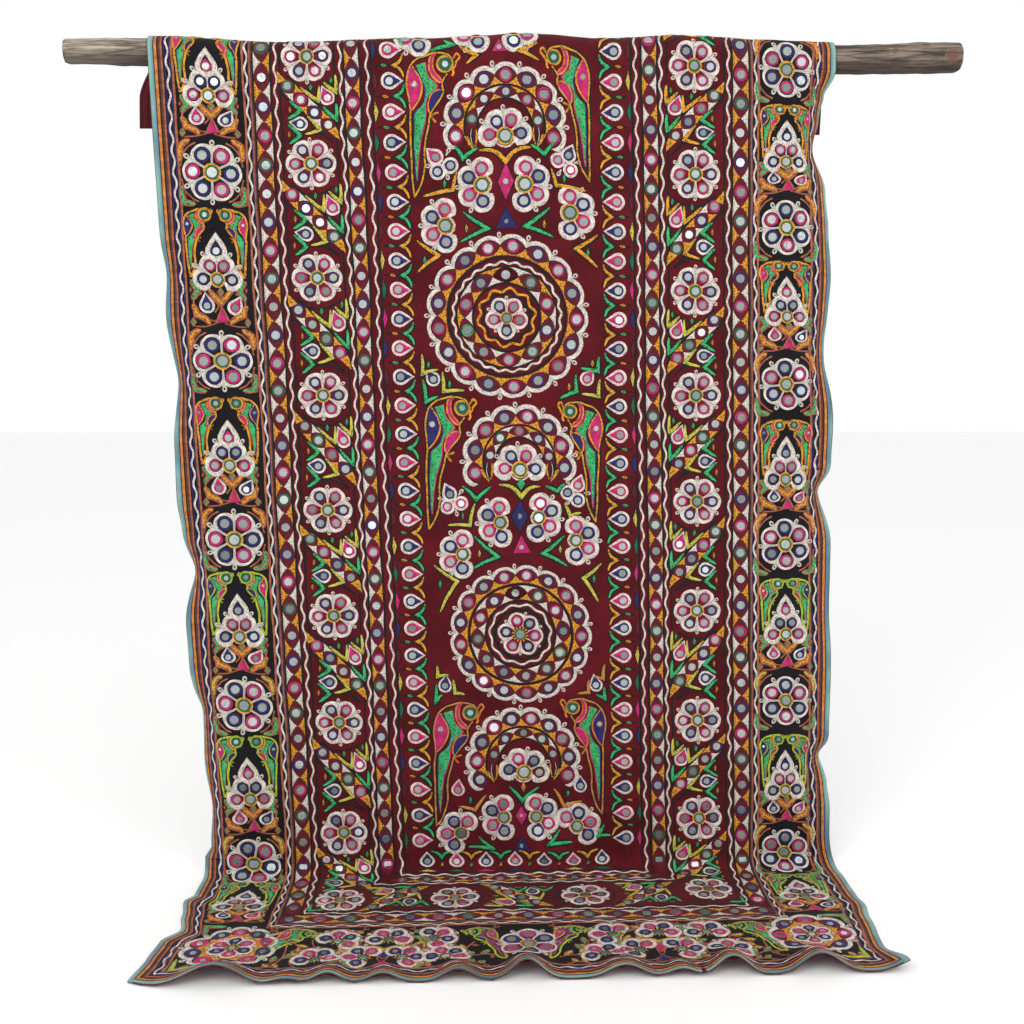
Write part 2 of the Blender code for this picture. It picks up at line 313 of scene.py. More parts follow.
# Adds a node: settings are its properties, links are its inputs, either a socket or a value
def addNode(tree, kind, settings=None, **links):
    made = tree.nodes.new(kind)
    for key, value in (settings or {}).items():
        setattr(made, key, value)
    for key, value in links.items():
        socket = made.inputs[int(key[1:])] if key[1:].isdigit() else made.inputs[key.replace("_", " ")]
        if isinstance(value, bpy.types.NodeSocket):
            tree.links.new(value, socket)
        else:
            socket.default_value = value
    return made


def maths(tree, operation, first, second=0.0):
    return addNode(tree, "ShaderNodeMath", {"operation": operation}, i0=first, i1=second).outputs[0]


def plus(tree, first, second):
    return maths(tree, "ADD", first, second)


def minus(tree, first, second):
    return maths(tree, "SUBTRACT", first, second)


def times(tree, first, second):
    return maths(tree, "MULTIPLY", first, second)


def blend(tree, share, first, second):
    return addNode(tree, "ShaderNodeMix", {"data_type": "RGBA"}, i0=share, i6=first, i7=second).outputs[2]


def ramp(tree, value, low, high, toLow=0.0, toHigh=1.0):
    made = addNode(
        tree, "ShaderNodeMapRange", {"clamp": True, "interpolation_type": "SMOOTHSTEP"},
        i0=value, i1=low, i2=high, i3=toLow, i4=toHigh,
    )
    return made.outputs[0]


# Place on the cloth in metres, which every cloth and thread is drawn by
def clothPlace(tree):
    return addNode(tree, "ShaderNodeUVMap", {"uv_map": "Cloth metres"}).outputs[0]


def mottle(tree, place, scale, detail, roughness=0.5):
    made = addNode(tree, "ShaderNodeTexNoise", {"noise_dimensions": "2D"}, Vector=place)
    for size, value in (("Scale", scale), ("Detail", detail), ("Roughness", roughness)):
        made.inputs[size].default_value = value
    return made.outputs[0]


def fromMiddle(tree, value):
    return maths(tree, "ABSOLUTE", minus(tree, maths(tree, "FRACT", value), 0.5))


# Rows of chain stitch: each stitch is a rounded loop with a pinhole, given out as masks for the painted shade
# in the grooves and pinholes
def chainStitchGroup():
    group, inside, out = newGroup(
        "chain stitch grain",
        [
            ("Row width", "NodeSocketFloat", 0.0030),
            ("Stitch length", "NodeSocketFloat", 0.0042),
            ("Depth", "NodeSocketFloat", 0.0006),
        ],
        [("Groove", "NodeSocketFloat"), ("Pinhole", "NodeSocketFloat"), ("Normal", "NodeSocketVector")],
    )
    place = clothPlace(group)
    axes = addNode(group, "ShaderNodeSeparateXYZ", Vector=place)
    shift = times(group, minus(group, mottle(group, place, 140.0, 2.0), 0.5), 0.9)
    along = plus(group, maths(group, "DIVIDE", axes.outputs[0], inside.outputs[1]), shift)
    across = maths(group, "DIVIDE", axes.outputs[1], inside.outputs[0])
    across = plus(group, across, times(group, shift, 0.5))
    stagger = plus(group, along, times(group, maths(group, "FLOOR", across), 0.37))
    joint = times(group, ramp(group, fromMiddle(group, stagger), 0.40, 0.5), 0.6)
    groove = maths(group, "MAXIMUM", ramp(group, fromMiddle(group, across), 0.34, 0.5), joint)
    cells = addNode(group, "ShaderNodeTexVoronoi", {"voronoi_dimensions": "2D"}, Vector=place, Scale=230.0)
    flat = {"noise_dimensions": "2D"}
    chance = addNode(group, "ShaderNodeTexWhiteNoise", flat, Vector=cells.outputs["Position"])
    reach = ramp(group, chance.outputs[0], 0.15, 0.9, 0.06, 0.34)
    pinhole = ramp(group, minus(group, cells.outputs["Distance"], reach), 0.05, -0.05)
    height = minus(group, 1.0, maths(group, "MAXIMUM", groove, times(group, pinhole, 0.8)))
    raised = addNode(group, "ShaderNodeBump", Strength=0.85, Height=height)
    group.links.new(inside.outputs[2], raised.inputs["Distance"])
    group.links.new(groove, out.inputs[0])
    group.links.new(pinhole, out.inputs[1])
    group.links.new(raised.outputs[0], out.inputs[2])
    return group


# Plain weave: warp over weft, with slubs and a slow mottling from wear
def weaveGroup():
    group, inside, out = newGroup(
        "plain weave",
        [("Pitch", "NodeSocketFloat", 0.0009), ("Depth", "NodeSocketFloat", 0.00025)],
        [("Thread gap", "NodeSocketFloat"), ("Mottling", "NodeSocketFloat"), ("Normal", "NodeSocketVector")],
    )
    place = clothPlace(group)
    axes = addNode(group, "ShaderNodeSeparateXYZ", Vector=place)
    across = maths(group, "DIVIDE", axes.outputs[0], inside.outputs[0])
    along = maths(group, "DIVIDE", axes.outputs[1], inside.outputs[0])
    warp = maths(group, "ABSOLUTE", maths(group, "SINE", times(group, across, math.pi)))
    weft = maths(group, "ABSOLUTE", maths(group, "SINE", times(group, along, math.pi)))
    crossing = plus(group, maths(group, "FLOOR", across), maths(group, "FLOOR", along))
    over = times(group, maths(group, "FRACT", times(group, crossing, 0.5)), 2.0)
    height = addNode(group, "ShaderNodeMix", {"data_type": "FLOAT"}, i0=over, i2=warp, i3=weft).outputs[0]
    stretched = addNode(group, "ShaderNodeMapping", Vector=place, Scale=(420.0, 60.0, 1.0))
    slubs = mottle(group, stretched.outputs[0], 1.0, 3.0)
    worn = mottle(group, place, 9.0, 5.0, 0.6)
    relief = plus(group, height, times(group, slubs, 1.5))
    raised = addNode(group, "ShaderNodeBump", Strength=0.7, Height=relief)
    group.links.new(inside.outputs[1], raised.inputs["Distance"])
    group.links.new(minus(group, 1.0, height), out.inputs[0])
    group.links.new(plus(group, times(group, worn, 0.7), times(group, slubs, 0.3)), out.inputs[1])
    group.links.new(raised.outputs[0], out.inputs[2])
    return group


chainStitch = chainStitchGroup()
plainWeave = weaveGroup()


def newMaterial(name, roughness):
    material = bpy.data.materials.new(name)
    material.use_nodes = True
    tree = material.node_tree
    tree.nodes.clear()
    shader = addNode(tree, "ShaderNodeBsdfPrincipled", Roughness=roughness)
    result = addNode(tree, "ShaderNodeOutputMaterial")
    tree.links.new(shader.outputs[0], result.inputs[0])
    return material, tree, shader


def dyed(red, green, blue):
    return linear(red, green, blue) + (1.0,)


def toned(colour, share, lift=0.0):
    return tuple(min(1.0, value * share + lift) for value in colour[:3]) + (1.0,)


# Colour as dyed, and how strongly the painted shade in the pinholes shows
threads = {
    "white": ((216, 207, 196), 0.50),
    "gold": ((218, 148, 34), 0.85),
    "orange": ((206, 126, 52), 0.35),
    "green": ((56, 172, 102), 0.85),
    "darkGreen": ((20, 96, 70), 0.3),
    "pink": ((192, 32, 104), 0.35),
    "navy": ((36, 32, 96), 0.3),
    "maroon": ((92, 6, 28), 0.15),
    "rust": ((164, 92, 66), 0.35),
    "lemon": ((196, 180, 66), 0.75),
    "lime": ((172, 186, 52), 0.4),
    "purple": ((128, 44, 98), 0.3),
    "black": ((12, 10, 13), 0.0),
    "brown": ((92, 52, 44), 0.2),
}
stitchGrain = {"Row width": 0.0030, "Stitch length": 0.0042, "Depth": 0.0006}


def threadMaterial(name, colour, pinholeShadeStrength):
    material, tree, shader = newMaterial(name, 0.78)
    grain = addNode(tree, "ShaderNodeGroup", {"node_tree": chainStitch})
    for size, value in stitchGrain.items():
        grain.inputs[size].default_value = value
    base = dyed(*colour)
    fading = mottle(tree, clothPlace(tree), 60.0, 3.0)
    shade = blend(tree, ramp(tree, fading, 0.3, 0.7), toned(base, 0.72), toned(base, 1.2, 0.0015))
    # Painted shade: the grooves between rows and between stitches are darkened in the thread's own colour
    grooveShaded = blend(tree, times(tree, grain.outputs[0], 0.42), shade, toned(base, 0.35))
    # Painted shade: the pinholes are darkened to near black
    pinholeShaded = blend(tree, times(tree, grain.outputs[1], pinholeShadeStrength), grooveShaded, (0.020, 0.014, 0.014, 1.0))
    tree.links.new(pinholeShaded, shader.inputs["Base Color"])
    tree.links.new(grain.outputs[2], shader.inputs["Normal"])
    shader.inputs["Sheen Weight"].default_value = 0.04
    shader.inputs["Sheen Roughness"].default_value = 0.5
    shader.inputs["Specular IOR Level"].default_value = 0.3
    return material


# Cottons: colour as dyed, and how strongly fine stripes show
cottons = {
    "maroon cotton": ((86, 9, 20), 0.0),
    "black cotton": ((19, 16, 20), 0.0),
    "striped lining cotton": ((92, 18, 30), 0.6),
    "black hem cotton": ((30, 27, 33), 0.0),
}
cottonWeave = {"Pitch": 0.0009, "Depth": 0.00025}
stripePitch = 0.012


def clothMaterial(name, colour, stripes):
    material, tree, shader = newMaterial(name, 0.88)
    weave = addNode(tree, "ShaderNodeGroup", {"node_tree": plainWeave})
    for size, value in cottonWeave.items():
        weave.inputs[size].default_value = value
    base = dyed(*colour)
    shade = blend(tree, ramp(tree, weave.outputs[1], 0.36, 0.66), toned(base, 0.72), toned(base, 1.35, 0.001))
    # Painted shade: the gaps between the woven threads are darkened
    cloth = blend(tree, times(tree, weave.outputs[0], 0.35), shade, toned(base, 0.4))
    if stripes:
        axes = addNode(tree, "ShaderNodeSeparateXYZ", Vector=clothPlace(tree))
        wave = maths(tree, "SINE", times(tree, axes.outputs[0], 2 * math.pi / stripePitch))
        cloth = blend(tree, times(tree, ramp(tree, wave, 0.2, 0.7), stripes), cloth, toned(base, 0.25))
    tree.links.new(cloth, shader.inputs["Base Color"])
    tree.links.new(weave.outputs[2], shader.inputs["Normal"])
    shader.inputs["Sheen Weight"].default_value = 0.02
    shader.inputs["Specular IOR Level"].default_value = 0.2
    return material


threadLook = {name: threadMaterial(name + " thread", *look) for name, look in threads.items()}
cottonLook = {name: clothMaterial(name, *look) for name, look in cottons.items()}
print("materials made")


# The cloth itself: thin closed sheets laid on the folds
sheetSteps = {
    "rows": 0.0105, "bentRows": 0.0050, "lining": 0.024, "field": 0.0105, "sideBorders": 0.0082,
    "frontBorder": 0.006, "frontRibbon": 0.006, "rearHem": 0.010,
}


# Marks along the cloth, closer over the pole, in the floor bend and on the rippled hem
def rowsBetween(start, end):
    marks = [start]
    while marks[-1] < end - 1e-6:
        at = marks[-1]
        bent = at < wrap + 0.065 or fallEnd - 0.04 < at < floorStart + 0.03 or at > hem - 0.125
        step = sheetSteps["bentRows" if bent and at > -wrap else "rows"]
        marks.append(min(end, at + step))
    return np.array(marks)


def columnsBetween(start, end, step):
    return np.linspace(start, end, max(2, round((end - start) / step) + 1))


# Faces of a closed thin sheet: upper side, lower side and the rim between them
def sheetFaces(count, rows):
    index = np.arange(count * rows).reshape(count, rows)
    upper = np.stack([index[:-1, :-1], index[:-1, 1:], index[1:, 1:], index[1:, :-1]], -1).reshape(-1, 4)
    edge = np.concatenate([index[:, 0], index[-1, 1:], index[-2::-1, -1], index[0, -2:0:-1]])
    after = np.roll(edge, -1)
    lower = count * rows
    rim = np.stack([edge, after, after + lower, edge + lower], -1)
    return np.concatenate([upper, upper[:, ::-1] + lower, rim])


def clothSheet(name, us, ss, under, over, cotton):
    u, s = np.meshgrid(us, ss, indexing="ij")
    top = placeOnCloth(u, s, np.full(u.shape, over)).reshape(-1, 3)
    low = placeOnCloth(u, s, np.full(u.shape, under)).reshape(-1, 3)
    uvs = np.tile(np.stack([u.ravel(), s.ravel()], -1), (2, 1))
    points = np.concatenate([top, low])
    return meshPiece(name, points, sheetFaces(*u.shape), uvs, cottonLook[cotton])


half = seamGap / 2
frontStart = hem - frontSeam
rearEnd = -rearLength
hemFold = 0.012
bodyRows = rowsBetween(rearEnd + hemFold + half, frontStart - half)
frontRows = rowsBetween(frontStart + half, hem - bindingWidth - half)
insideLeft = leftEdge + bindingWidth + half
insideRight = rightEdge - bindingWidth - half

lining = clothSheet(
    "striped_lining", columnsBetween(leftEdge, rightEdge, sheetSteps["lining"]), rowsBetween(rearEnd, hem),
    0.0, liningTop, "striped lining cotton",
)
fieldCloth = clothSheet(
    "maroon_field", columnsBetween(leftSeam + half, rightSeam - half, sheetSteps["field"]), bodyRows,
    faceUnder, faceTop, "maroon cotton",
)
leftBorder = clothSheet(
    "left_border", columnsBetween(insideLeft, leftSeam - half, sheetSteps["sideBorders"]), bodyRows,
    faceUnder, faceTop, "black cotton",
)
rightBorder = clothSheet(
    "right_border", columnsBetween(rightSeam + half, insideRight, sheetSteps["sideBorders"]), bodyRows,
    faceUnder, faceTop, "black cotton",
)
frontBorder = clothSheet(
    "front_border", columnsBetween(insideLeft, insideRight, sheetSteps["frontBorder"]), frontRows,
    faceUnder, faceTop, "black cotton",
)
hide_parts("lining")
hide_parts("field_panel")
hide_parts("border_left")
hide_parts("border_right")
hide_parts("border_front")
print("cloth laid")


# Ribbon bound along the two sides and the front, with ribs and a blue inner stripe
ribbonWeave = {
    "teal": ((62, 108, 100), (126, 176, 164)), "blue": ((84, 116, 156), (108, 150, 158)),
    "piping": (70, 14, 26), "ribs": 0.0016,
}
# Distance in from the edge and height over the cloth's hidden side
ribbonProfile = [
    (0.0, 0.0019), (0.0016, 0.0030), (0.0032, 0.0032), (0.0062, 0.0032), (0.0090, 0.0032),
    (bindingWidth, 0.0026),
]


def ribbonMaterial():
    material, tree, shader = newMaterial("ribbed ribbon", 0.55)
    axes = addNode(tree, "ShaderNodeSeparateXYZ", Vector=clothPlace(tree))
    along = {"noise_dimensions": "1D"}
    fading = addNode(tree, "ShaderNodeTexNoise", along, W=axes.outputs[0], Scale=5.0, Detail=3.0).outputs[0]
    tealWorn, tealFresh = (dyed(*colour) for colour in ribbonWeave["teal"])
    blueWorn, blueFresh = (dyed(*colour) for colour in ribbonWeave["blue"])
    teal = blend(tree, ramp(tree, fading, 0.35, 0.65), tealWorn, tealFresh)
    blue = blend(tree, ramp(tree, fading, 0.42, 0.60), blueWorn, blueFresh)
    colour = blend(tree, ramp(tree, axes.outputs[1], 0.0062, 0.0074), teal, blue)
    colour = blend(tree, ramp(tree, axes.outputs[1], 0.0019, 0.0013), colour, dyed(*ribbonWeave["piping"]))
    ribs = maths(tree, "SINE", times(tree, axes.outputs[0], 2 * math.pi / ribbonWeave["ribs"]))
    # Painted shade: the troughs between the ribs are darkened
    colour = blend(tree, ramp(tree, ribs, -1.0, 0.2, 0.35, 0.0), colour, (0.03, 0.05, 0.05, 1.0))
    raised = addNode(tree, "ShaderNodeBump", Strength=0.5, Distance=0.0004, Height=ribs)
    tree.links.new(colour, shader.inputs["Base Color"])
    tree.links.new(raised.outputs[0], shader.inputs["Normal"])
    shader.inputs["Sheen Weight"].default_value = 0.2
    return material


ribbonLook = ribbonMaterial()


# A bound edge: distances in from the edge by distances along it, with a rounded outer piping
def boundEdge(name, alongMarks, toCloth, node):
    marks, heights = np.array(ribbonProfile).T
    across, along = np.meshgrid(marks, alongMarks, indexing="ij")
    u, s = toCloth(across, along)
    top = placeOnCloth(u, s, np.tile(heights[:, None], len(alongMarks))).reshape(-1, 3)
    low = placeOnCloth(u, s, np.full(u.shape, faceUnder)).reshape(-1, 3)
    faces = sheetFaces(*u.shape)
    middle = faces[len(alongMarks)]
    first, second, last = top[middle[[0, 1, 3]]]
    if np.cross(second - first, last - first) @ (first - low[middle[0]]) < 0:
        faces = faces[:, ::-1]
    uvs = np.tile(np.stack([along.ravel(), across.ravel()], -1), (2, 1))
    piece = meshPiece(name, np.concatenate([top, low]), faces, uvs, ribbonLook)
    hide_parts(node)
    return piece


def alongLeft(across, along):
    return leftEdge + across, along


def alongRight(across, along):
    return rightEdge - across, along


def alongFront(across, along):
    return along, hem - across


sideMarks = rowsBetween(rearEnd + hemFold + half, hem)
frontMarks = columnsBetween(insideLeft, insideRight, sheetSteps["frontRibbon"])
ribbonLeft = boundEdge("left_ribbon", sideMarks, alongLeft, "binding_left")
ribbonRight = boundEdge("right_ribbon", sideMarks, alongRight, "binding_right")
ribbonFront = boundEdge("front_ribbon", frontMarks, alongFront, "binding_front")
hemMarks = rearEnd + np.array([0.0, 0.003, 0.009, hemFold - half])
rearHem = clothSheet(
    "rear_hem", columnsBetween(leftEdge, rightEdge, sheetSteps["rearHem"]), hemMarks,
    faceUnder, faceTop + 0.0004, "black hem cotton",
)
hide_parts("binding_back")
print("edges bound")


# The pole: a rough branch, worn pale at its left end and dark with bark at the right, with painted shade on
# its underside and in its cracks
poleLook = {
    "rings": 290, "sides": 40, "relief": 0.0010, "freeRelief": 0.0016,
    "clothMiddle": -0.047, "clothHalf": 0.700,
    "pale": ((96, 82, 70), (196, 184, 168)), "dark": ((52, 42, 36), (138, 122, 108)), "under": (50, 34, 28),
    "scar": (104, 76, 60), "scarRim": (172, 150, 130),
}
# Scars of cut twigs: middle and reach
poleScars = [
    ((0.735, -0.026, 0.008), 0.010), ((0.800, -0.020, 0.022), 0.012), ((0.850, -0.026, 0.004), 0.014),
]


# Lumps and ridges of the bark, from -1 to 1
def barkRelief(x, angle):
    ridges = np.sin(9 * angle + 5 * np.sin(4.1 * x) + 11 * x) * 0.5 + 0.3 * np.sin(17 * angle - 23 * x)
    lumps = 0.5 * np.sin(37 * x + 2 * angle) + 0.4 * np.sin(71 * x - 3 * angle + 1.7)
    lumps = lumps + 0.3 * np.sin(143 * x + angle)
    return np.clip((ridges + lumps) / 1.6, -1, 1)


# Points, and faces with three or four corners: the bark's first, then those of the sawn ends
def roughPole():
    xs = np.linspace(poleSections[0][0], poleSections[-1][0], poleLook["rings"])
    angles = np.arange(poleLook["sides"]) * 2 * math.pi / poleLook["sides"]
    x, angle = np.meshgrid(xs, angles, indexing="ij")
    sway, rise, radius = (column(poleSections, x, index) for index in (1, 2, 3))
    rough = barkRelief(x, angle)
    free = np.clip((np.abs(x - poleLook["clothMiddle"]) - poleLook["clothHalf"]) / 0.012, 0, 1)
    inward = poleLook["relief"] * (1 - rough) / 2 + 0.0002
    radius = radius - inward * (1 - free) + poleLook["freeRelief"] * rough * free
    ends = np.minimum(x - xs[0], xs[-1] - x)
    radius = radius - 0.0022 * np.exp(-ends / 0.0022)
    points = np.stack([x, sway + radius * np.cos(angle), rise + radius * np.sin(angle)], -1).reshape(-1, 3)
    rings, sides = x.shape
    index = np.arange(rings * sides).reshape(rings, sides)
    around = np.roll(index, -1, axis=1)
    bark = np.stack([index[:-1], index[1:], around[1:], around[:-1]], -1).reshape(-1, 4)
    sawn = []
    for rim, order in ((0, 1), (rings - 1, -1)):
        centre = points[index[rim]].mean(0)
        inner = centre + (points[index[rim]] - centre) * 0.5
        innerIndex = len(points) + np.arange(sides)
        innerNext = np.roll(innerIndex, -1)
        middle = np.full(sides, len(points) + sides)
        points = np.vstack([points, inner, centre])
        sawn += np.stack([index[rim], around[rim], innerNext, innerIndex], -1)[:, ::order].tolist()
        sawn += np.stack([innerIndex, innerNext, middle], -1)[:, ::order].tolist()
    return points, bark.tolist(), sawn


def barkMaterial():
    material, tree, shader = newMaterial("weathered bark", 0.86)
    place = addNode(tree, "ShaderNodeTexCoord").outputs["Object"]
    axes = addNode(tree, "ShaderNodeSeparateXYZ", Vector=place)
    long = addNode(tree, "ShaderNodeMapping", Vector=place, Scale=(9.0, 130.0, 130.0)).outputs[0]
    grain = addNode(tree, "ShaderNodeTexNoise", Vector=long, Scale=1.0, Detail=8.0, Roughness=0.65).outputs[0]
    patches = addNode(tree, "ShaderNodeTexNoise", Vector=place, Scale=14.0, Detail=6.0, Roughness=0.6)
    patches = patches.outputs[0]
    paleDeep, paleTop = (dyed(*colour) for colour in poleLook["pale"])
    darkDeep, darkTop = (dyed(*colour) for colour in poleLook["dark"])
    pale = blend(tree, ramp(tree, grain, 0.3, 0.7), paleDeep, paleTop)
    dark = blend(tree, ramp(tree, grain, 0.35, 0.65), darkDeep, darkTop)
    right = ramp(tree, plus(tree, axes.outputs[0], times(tree, patches, 0.16)), -0.74, -0.58)
    colour = blend(tree, right, pale, dark)
    # Painted shade: the underside of the pole is darkened towards the under colour
    under = plus(tree, axes.outputs[2], times(tree, patches, 0.02))
    colour = blend(tree, ramp(tree, under, 0.012, -0.014, 0.0, 0.75), colour, dyed(*poleLook["under"]))
    uneven = times(tree, minus(tree, patches, 0.5), 0.045)
    scars = 0.0
    apart = {"operation": "DISTANCE"}
    for centre, reach in poleScars:
        away = addNode(tree, "ShaderNodeVectorMath", apart, i0=place, i1=centre).outputs[1]
        scar = ramp(tree, plus(tree, away, uneven), reach, reach * 0.6)
        scars = maths(tree, "MAXIMUM", scars, scar)
    rim = times(tree, times(tree, scars, minus(tree, 1.0, scars)), 0.6)
    colour = blend(tree, times(tree, scars, 0.7), colour, dyed(*poleLook["scar"]))
    colour = blend(tree, rim, colour, dyed(*poleLook["scarRim"]))
    toEdge = {"feature": "DISTANCE_TO_EDGE"}
    cracks = addNode(tree, "ShaderNodeTexVoronoi", toEdge, Vector=long, Scale=0.55).outputs[0]
    # Painted shade: the cracks in the bark are darkened to near black
    crackMask = ramp(tree, cracks, 0.10, 0.0, 0.0, 0.55)
    colour = blend(tree, crackMask, colour, (0.02, 0.014, 0.011, 1.0))
    relief = minus(tree, grain, crackMask)
    raised = addNode(tree, "ShaderNodeBump", Strength=0.9, Distance=0.0016, Height=relief)
    tree.links.new(colour, shader.inputs["Base Color"])
    tree.links.new(raised.outputs[0], shader.inputs["Normal"])
    return material


def buildPole():
    points, bark, sawn = roughPole()
    mesh = bpy.data.meshes.new("rough_pole")
    mesh.from_pydata(points.tolist(), [], bark + sawn)
    mesh.update()
    mesh.polygons.foreach_set("use_smooth", [True] * len(bark) + [False] * len(sawn))
    piece = bpy.data.objects.new("rough_pole", mesh)
    bpy.context.scene.collection.objects.link(piece)
    piece.data.materials.append(barkMaterial())
    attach(piece, "root")
    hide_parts("pole")
    scenePieces.append(piece)
    return piece


buildPole()
print("pole made")

# Embroidery: motifs are drawn in millimetres about their own middle, x to the right and y up


# Where a motif stands on the cloth, with its own turn, size and mirroring
class Spot:
    def __init__(self, u, s, axes=None):
        self.origin = np.array([u, s], dtype=float)
        self.axes = np.eye(2) if axes is None else axes

    def to(self, points):
        return self.origin + (np.asarray(points, dtype=float) @ self.axes.T) * (mm, -mm)

    def at(self, x=0.0, y=0.0, turn=0.0, size=1.0, flip=1, tall=1.0):
        origin = self.to([(x, y)])[0]
        angle = math.radians(turn)
        turned = np.array([[math.cos(angle), -math.sin(angle)], [math.sin(angle), math.cos(angle)]])
        return Spot(*origin, self.axes @ turned @ np.diag([size * flip, size * tall]))


# A row bent clockwise round a spot: x runs along it and y points outwards
class RoundRow:
    def __init__(self, spot, radius, start=90.0):
        self.spot, self.radius, self.start = spot, radius, math.radians(start)

    def to(self, points):
        points = np.asarray(points, dtype=float)
        angle = self.start - points[..., 0] / self.radius
        reach = self.radius + points[..., 1]
        return self.spot.to(np.stack([reach * np.cos(angle), reach * np.sin(angle)], -1))

    def at(self, x=0.0, y=0.0, turn=0.0, size=1.0, flip=1, tall=1.0):
        angle = self.start - x / self.radius
        reach = self.radius + y
        across, up = reach * math.cos(angle), reach * math.sin(angle)
        return self.spot.at(across, up, math.degrees(angle) - 90 + turn, size, flip, tall)


# Widths at which a band gets more ridges, and how far its rows may be apart, in metres; sunk in millimetres
bandLook = {"narrow": 0.0054, "wide": 0.017, "rows": 0.0125, "bentRows": 0.0056, "sunk": 0.3}
stitched = {}
mirrors = []
panel = "field"
plan = Spot(0.0, 0.0)


def pointsAt(lines, marks):
    index = np.arange(len(lines))
    return np.stack([np.interp(marks, index, lines[:, k]) for k in (0, 1)], -1)


def denseMarks(steps, limit):
    parts = np.maximum(1, np.ceil(steps / limit - 1e-6)).astype(int)
    return np.concatenate([i + np.arange(p) / p for i, p in enumerate(parts)] + [[len(parts)]])


# Stitches filled in between two edges, raised by so many millimetres over the cloth
def stitchBand(thread, first, second, rise, ends=True):
    middle = (first + second) / 2
    steps = np.linalg.norm(np.diff(middle, axis=0), axis=1)
    at = (middle[1:, 1] + middle[:-1, 1]) / 2
    bent = (at < 0.110) | (at > 1.655)
    marks = denseMarks(steps, np.where(bent, bandLook["bentRows"], bandLook["rows"]))
    if len(marks) > len(first):
        first, second = pointsAt(first, marks), pointsAt(second, marks)
        middle = (first + second) / 2
        steps = np.linalg.norm(np.diff(middle, axis=0), axis=1)
    if ends:
        reach = (middle[1] - middle[0]) * 0.0003 / steps[0], (middle[-1] - middle[-2]) * 0.0003 / steps[-1]
        first = np.vstack([first[:1] - reach[0], first, first[-1:] + reach[1]])
        second = np.vstack([second[:1] - reach[0], second, second[-1:] + reach[1]])
        middle = (first + second) / 2
        steps = np.linalg.norm(np.diff(middle, axis=0), axis=1)
    along = np.concatenate([[0.0], np.cumsum(steps)])
    widths = np.linalg.norm(second - first, axis=1)
    widest = widths.max()
    sunk = bandLook["sunk"]
    under = min(sunk / rise, 1.0)
    if widest < bandLook["narrow"]:
        share, lift = np.array([-0.5 * under, 0.5, 1 + 0.5 * under]), np.array([0.0, 1.0, 0.0])
    elif widest < bandLook["wide"]:
        under = 0.22 * under
        share, lift = np.array([-under, 0.22, 0.78, 1.0 + under]), np.array([0.0, 1.0, 1.0, 0.0])
    else:
        under = 0.1 * under
        share = np.array([-under, 0.1, 0.36, 0.64, 0.9, 1.0 + under])
        lift = np.array([0.0, 1.0, 1.0, 1.0, 1.0, 0.0])
    grid = first[:, None] * (1 - share)[None, :, None] + second[:, None] * share[None, :, None]
    flow = np.diff(middle, axis=0)
    spread = (second - first)[:-1]
    if (flow[:, 0] * spread[:, 1] - flow[:, 1] * spread[:, 0]).sum() > 0:
        grid = grid[:, ::-1]
    height = np.tile(lift * (rise + sunk) - sunk, (len(first), 1))
    if ends:
        height[0] = height[-1] = -sunk
    across = (share - 0.5)[None, :] * widths[:, None]
    uv = np.stack([np.broadcast_to(along[:, None], across.shape), across], -1)
    stitched.setdefault((panel, thread), []).append((grid, height, uv))


def line(place, points, width, thread, rise=0.7, taper=0.0, closed=False):
    points = np.asarray(points, dtype=float)
    if closed:
        points = np.vstack([points, points[:1]])
    if taper:
        points = pointsAt(points, denseMarks(np.linalg.norm(np.diff(points, axis=0), axis=1), 5.0))
    path = place.to(points)
    steps = np.diff(path, axis=0)
    lengths = np.linalg.norm(steps, axis=1)
    steps = steps / np.maximum(lengths, 1e-9)[:, None]
    before = np.vstack([steps[-1:] if closed else steps[:1], steps])
    after = np.vstack([steps, steps[:1] if closed else steps[-1:]])
    middle = before + after
    middle = middle / np.maximum(np.linalg.norm(middle, axis=1), 1e-9)[:, None]
    stretch = 1 / np.clip((middle * after).sum(1), 0.6, 1.0)
    share = np.concatenate([[0.0], np.cumsum(lengths)]) / lengths.sum()
    profile = np.maximum(np.sin(math.pi * share), 0.0) ** taper * 0.9 + 0.1 if taper else 1.0
    side = np.stack([-middle[:, 1], middle[:, 0]], -1) * (width / 2 * mm * stretch * profile)[:, None]
    stitchBand(thread, path - side, path + side, rise, ends=not closed)


# Smooth curve through points
def curved(points, per=5, closed=False):
    points = np.asarray(points, dtype=float)
    if closed:
        around = np.vstack([points[-1:], points, points[:2]])
    else:
        around = np.vstack([2 * points[0] - points[1], points, 2 * points[-1] - points[-2]])
    t = (np.arange(per) / per)[:, None]
    parts = []
    for a, b, c, d in zip(around, around[1:], around[2:], around[3:]):
        bend = (c - a) * t + (2 * a - 5 * b + 4 * c - d) * t**2 + (3 * b - a - 3 * c + d) * t**3
        parts.append(0.5 * (2 * b + bend))
    return np.vstack(parts if closed else parts + [points[-1:]])


def spaced(points, count):
    points = np.asarray(points, dtype=float)
    steps = np.linalg.norm(np.diff(points, axis=0), axis=1)
    along = np.concatenate([[0.0], np.cumsum(steps)])
    marks = np.linspace(0.0, along[-1], count)
    return np.stack([np.interp(marks, along, points[:, k]) for k in (0, 1)], -1)


def fill(place, sideA, sideB, thread, rise=0.8, edge=0.0, edgeThread="black", bend=True, count=9):
    a, b = (spaced(curved(side) if bend and len(side) > 2 else side, count) for side in (sideA, sideB))
    if edge:
        line(place, np.vstack([a, b[-2:0:-1]]), edge, edgeThread, rise * 0.5, closed=True)
    stitchBand(thread, place.to(a), place.to(b), rise)


# Outline of a circle, or of a drop when tip is more than radius; angles run clockwise from y
def dropEdge(radius, tip, angles):
    away = np.abs((angles + math.pi) % (2 * math.pi) - math.pi)
    reach = np.full(angles.shape, float(radius))
    if tip > radius:
        bend = math.acos(radius / tip)
        near = away < bend
        reach[near] = radius / np.cos(bend - away[near])
    return np.stack([reach * np.sin(angles), reach * np.cos(angles)], -1)


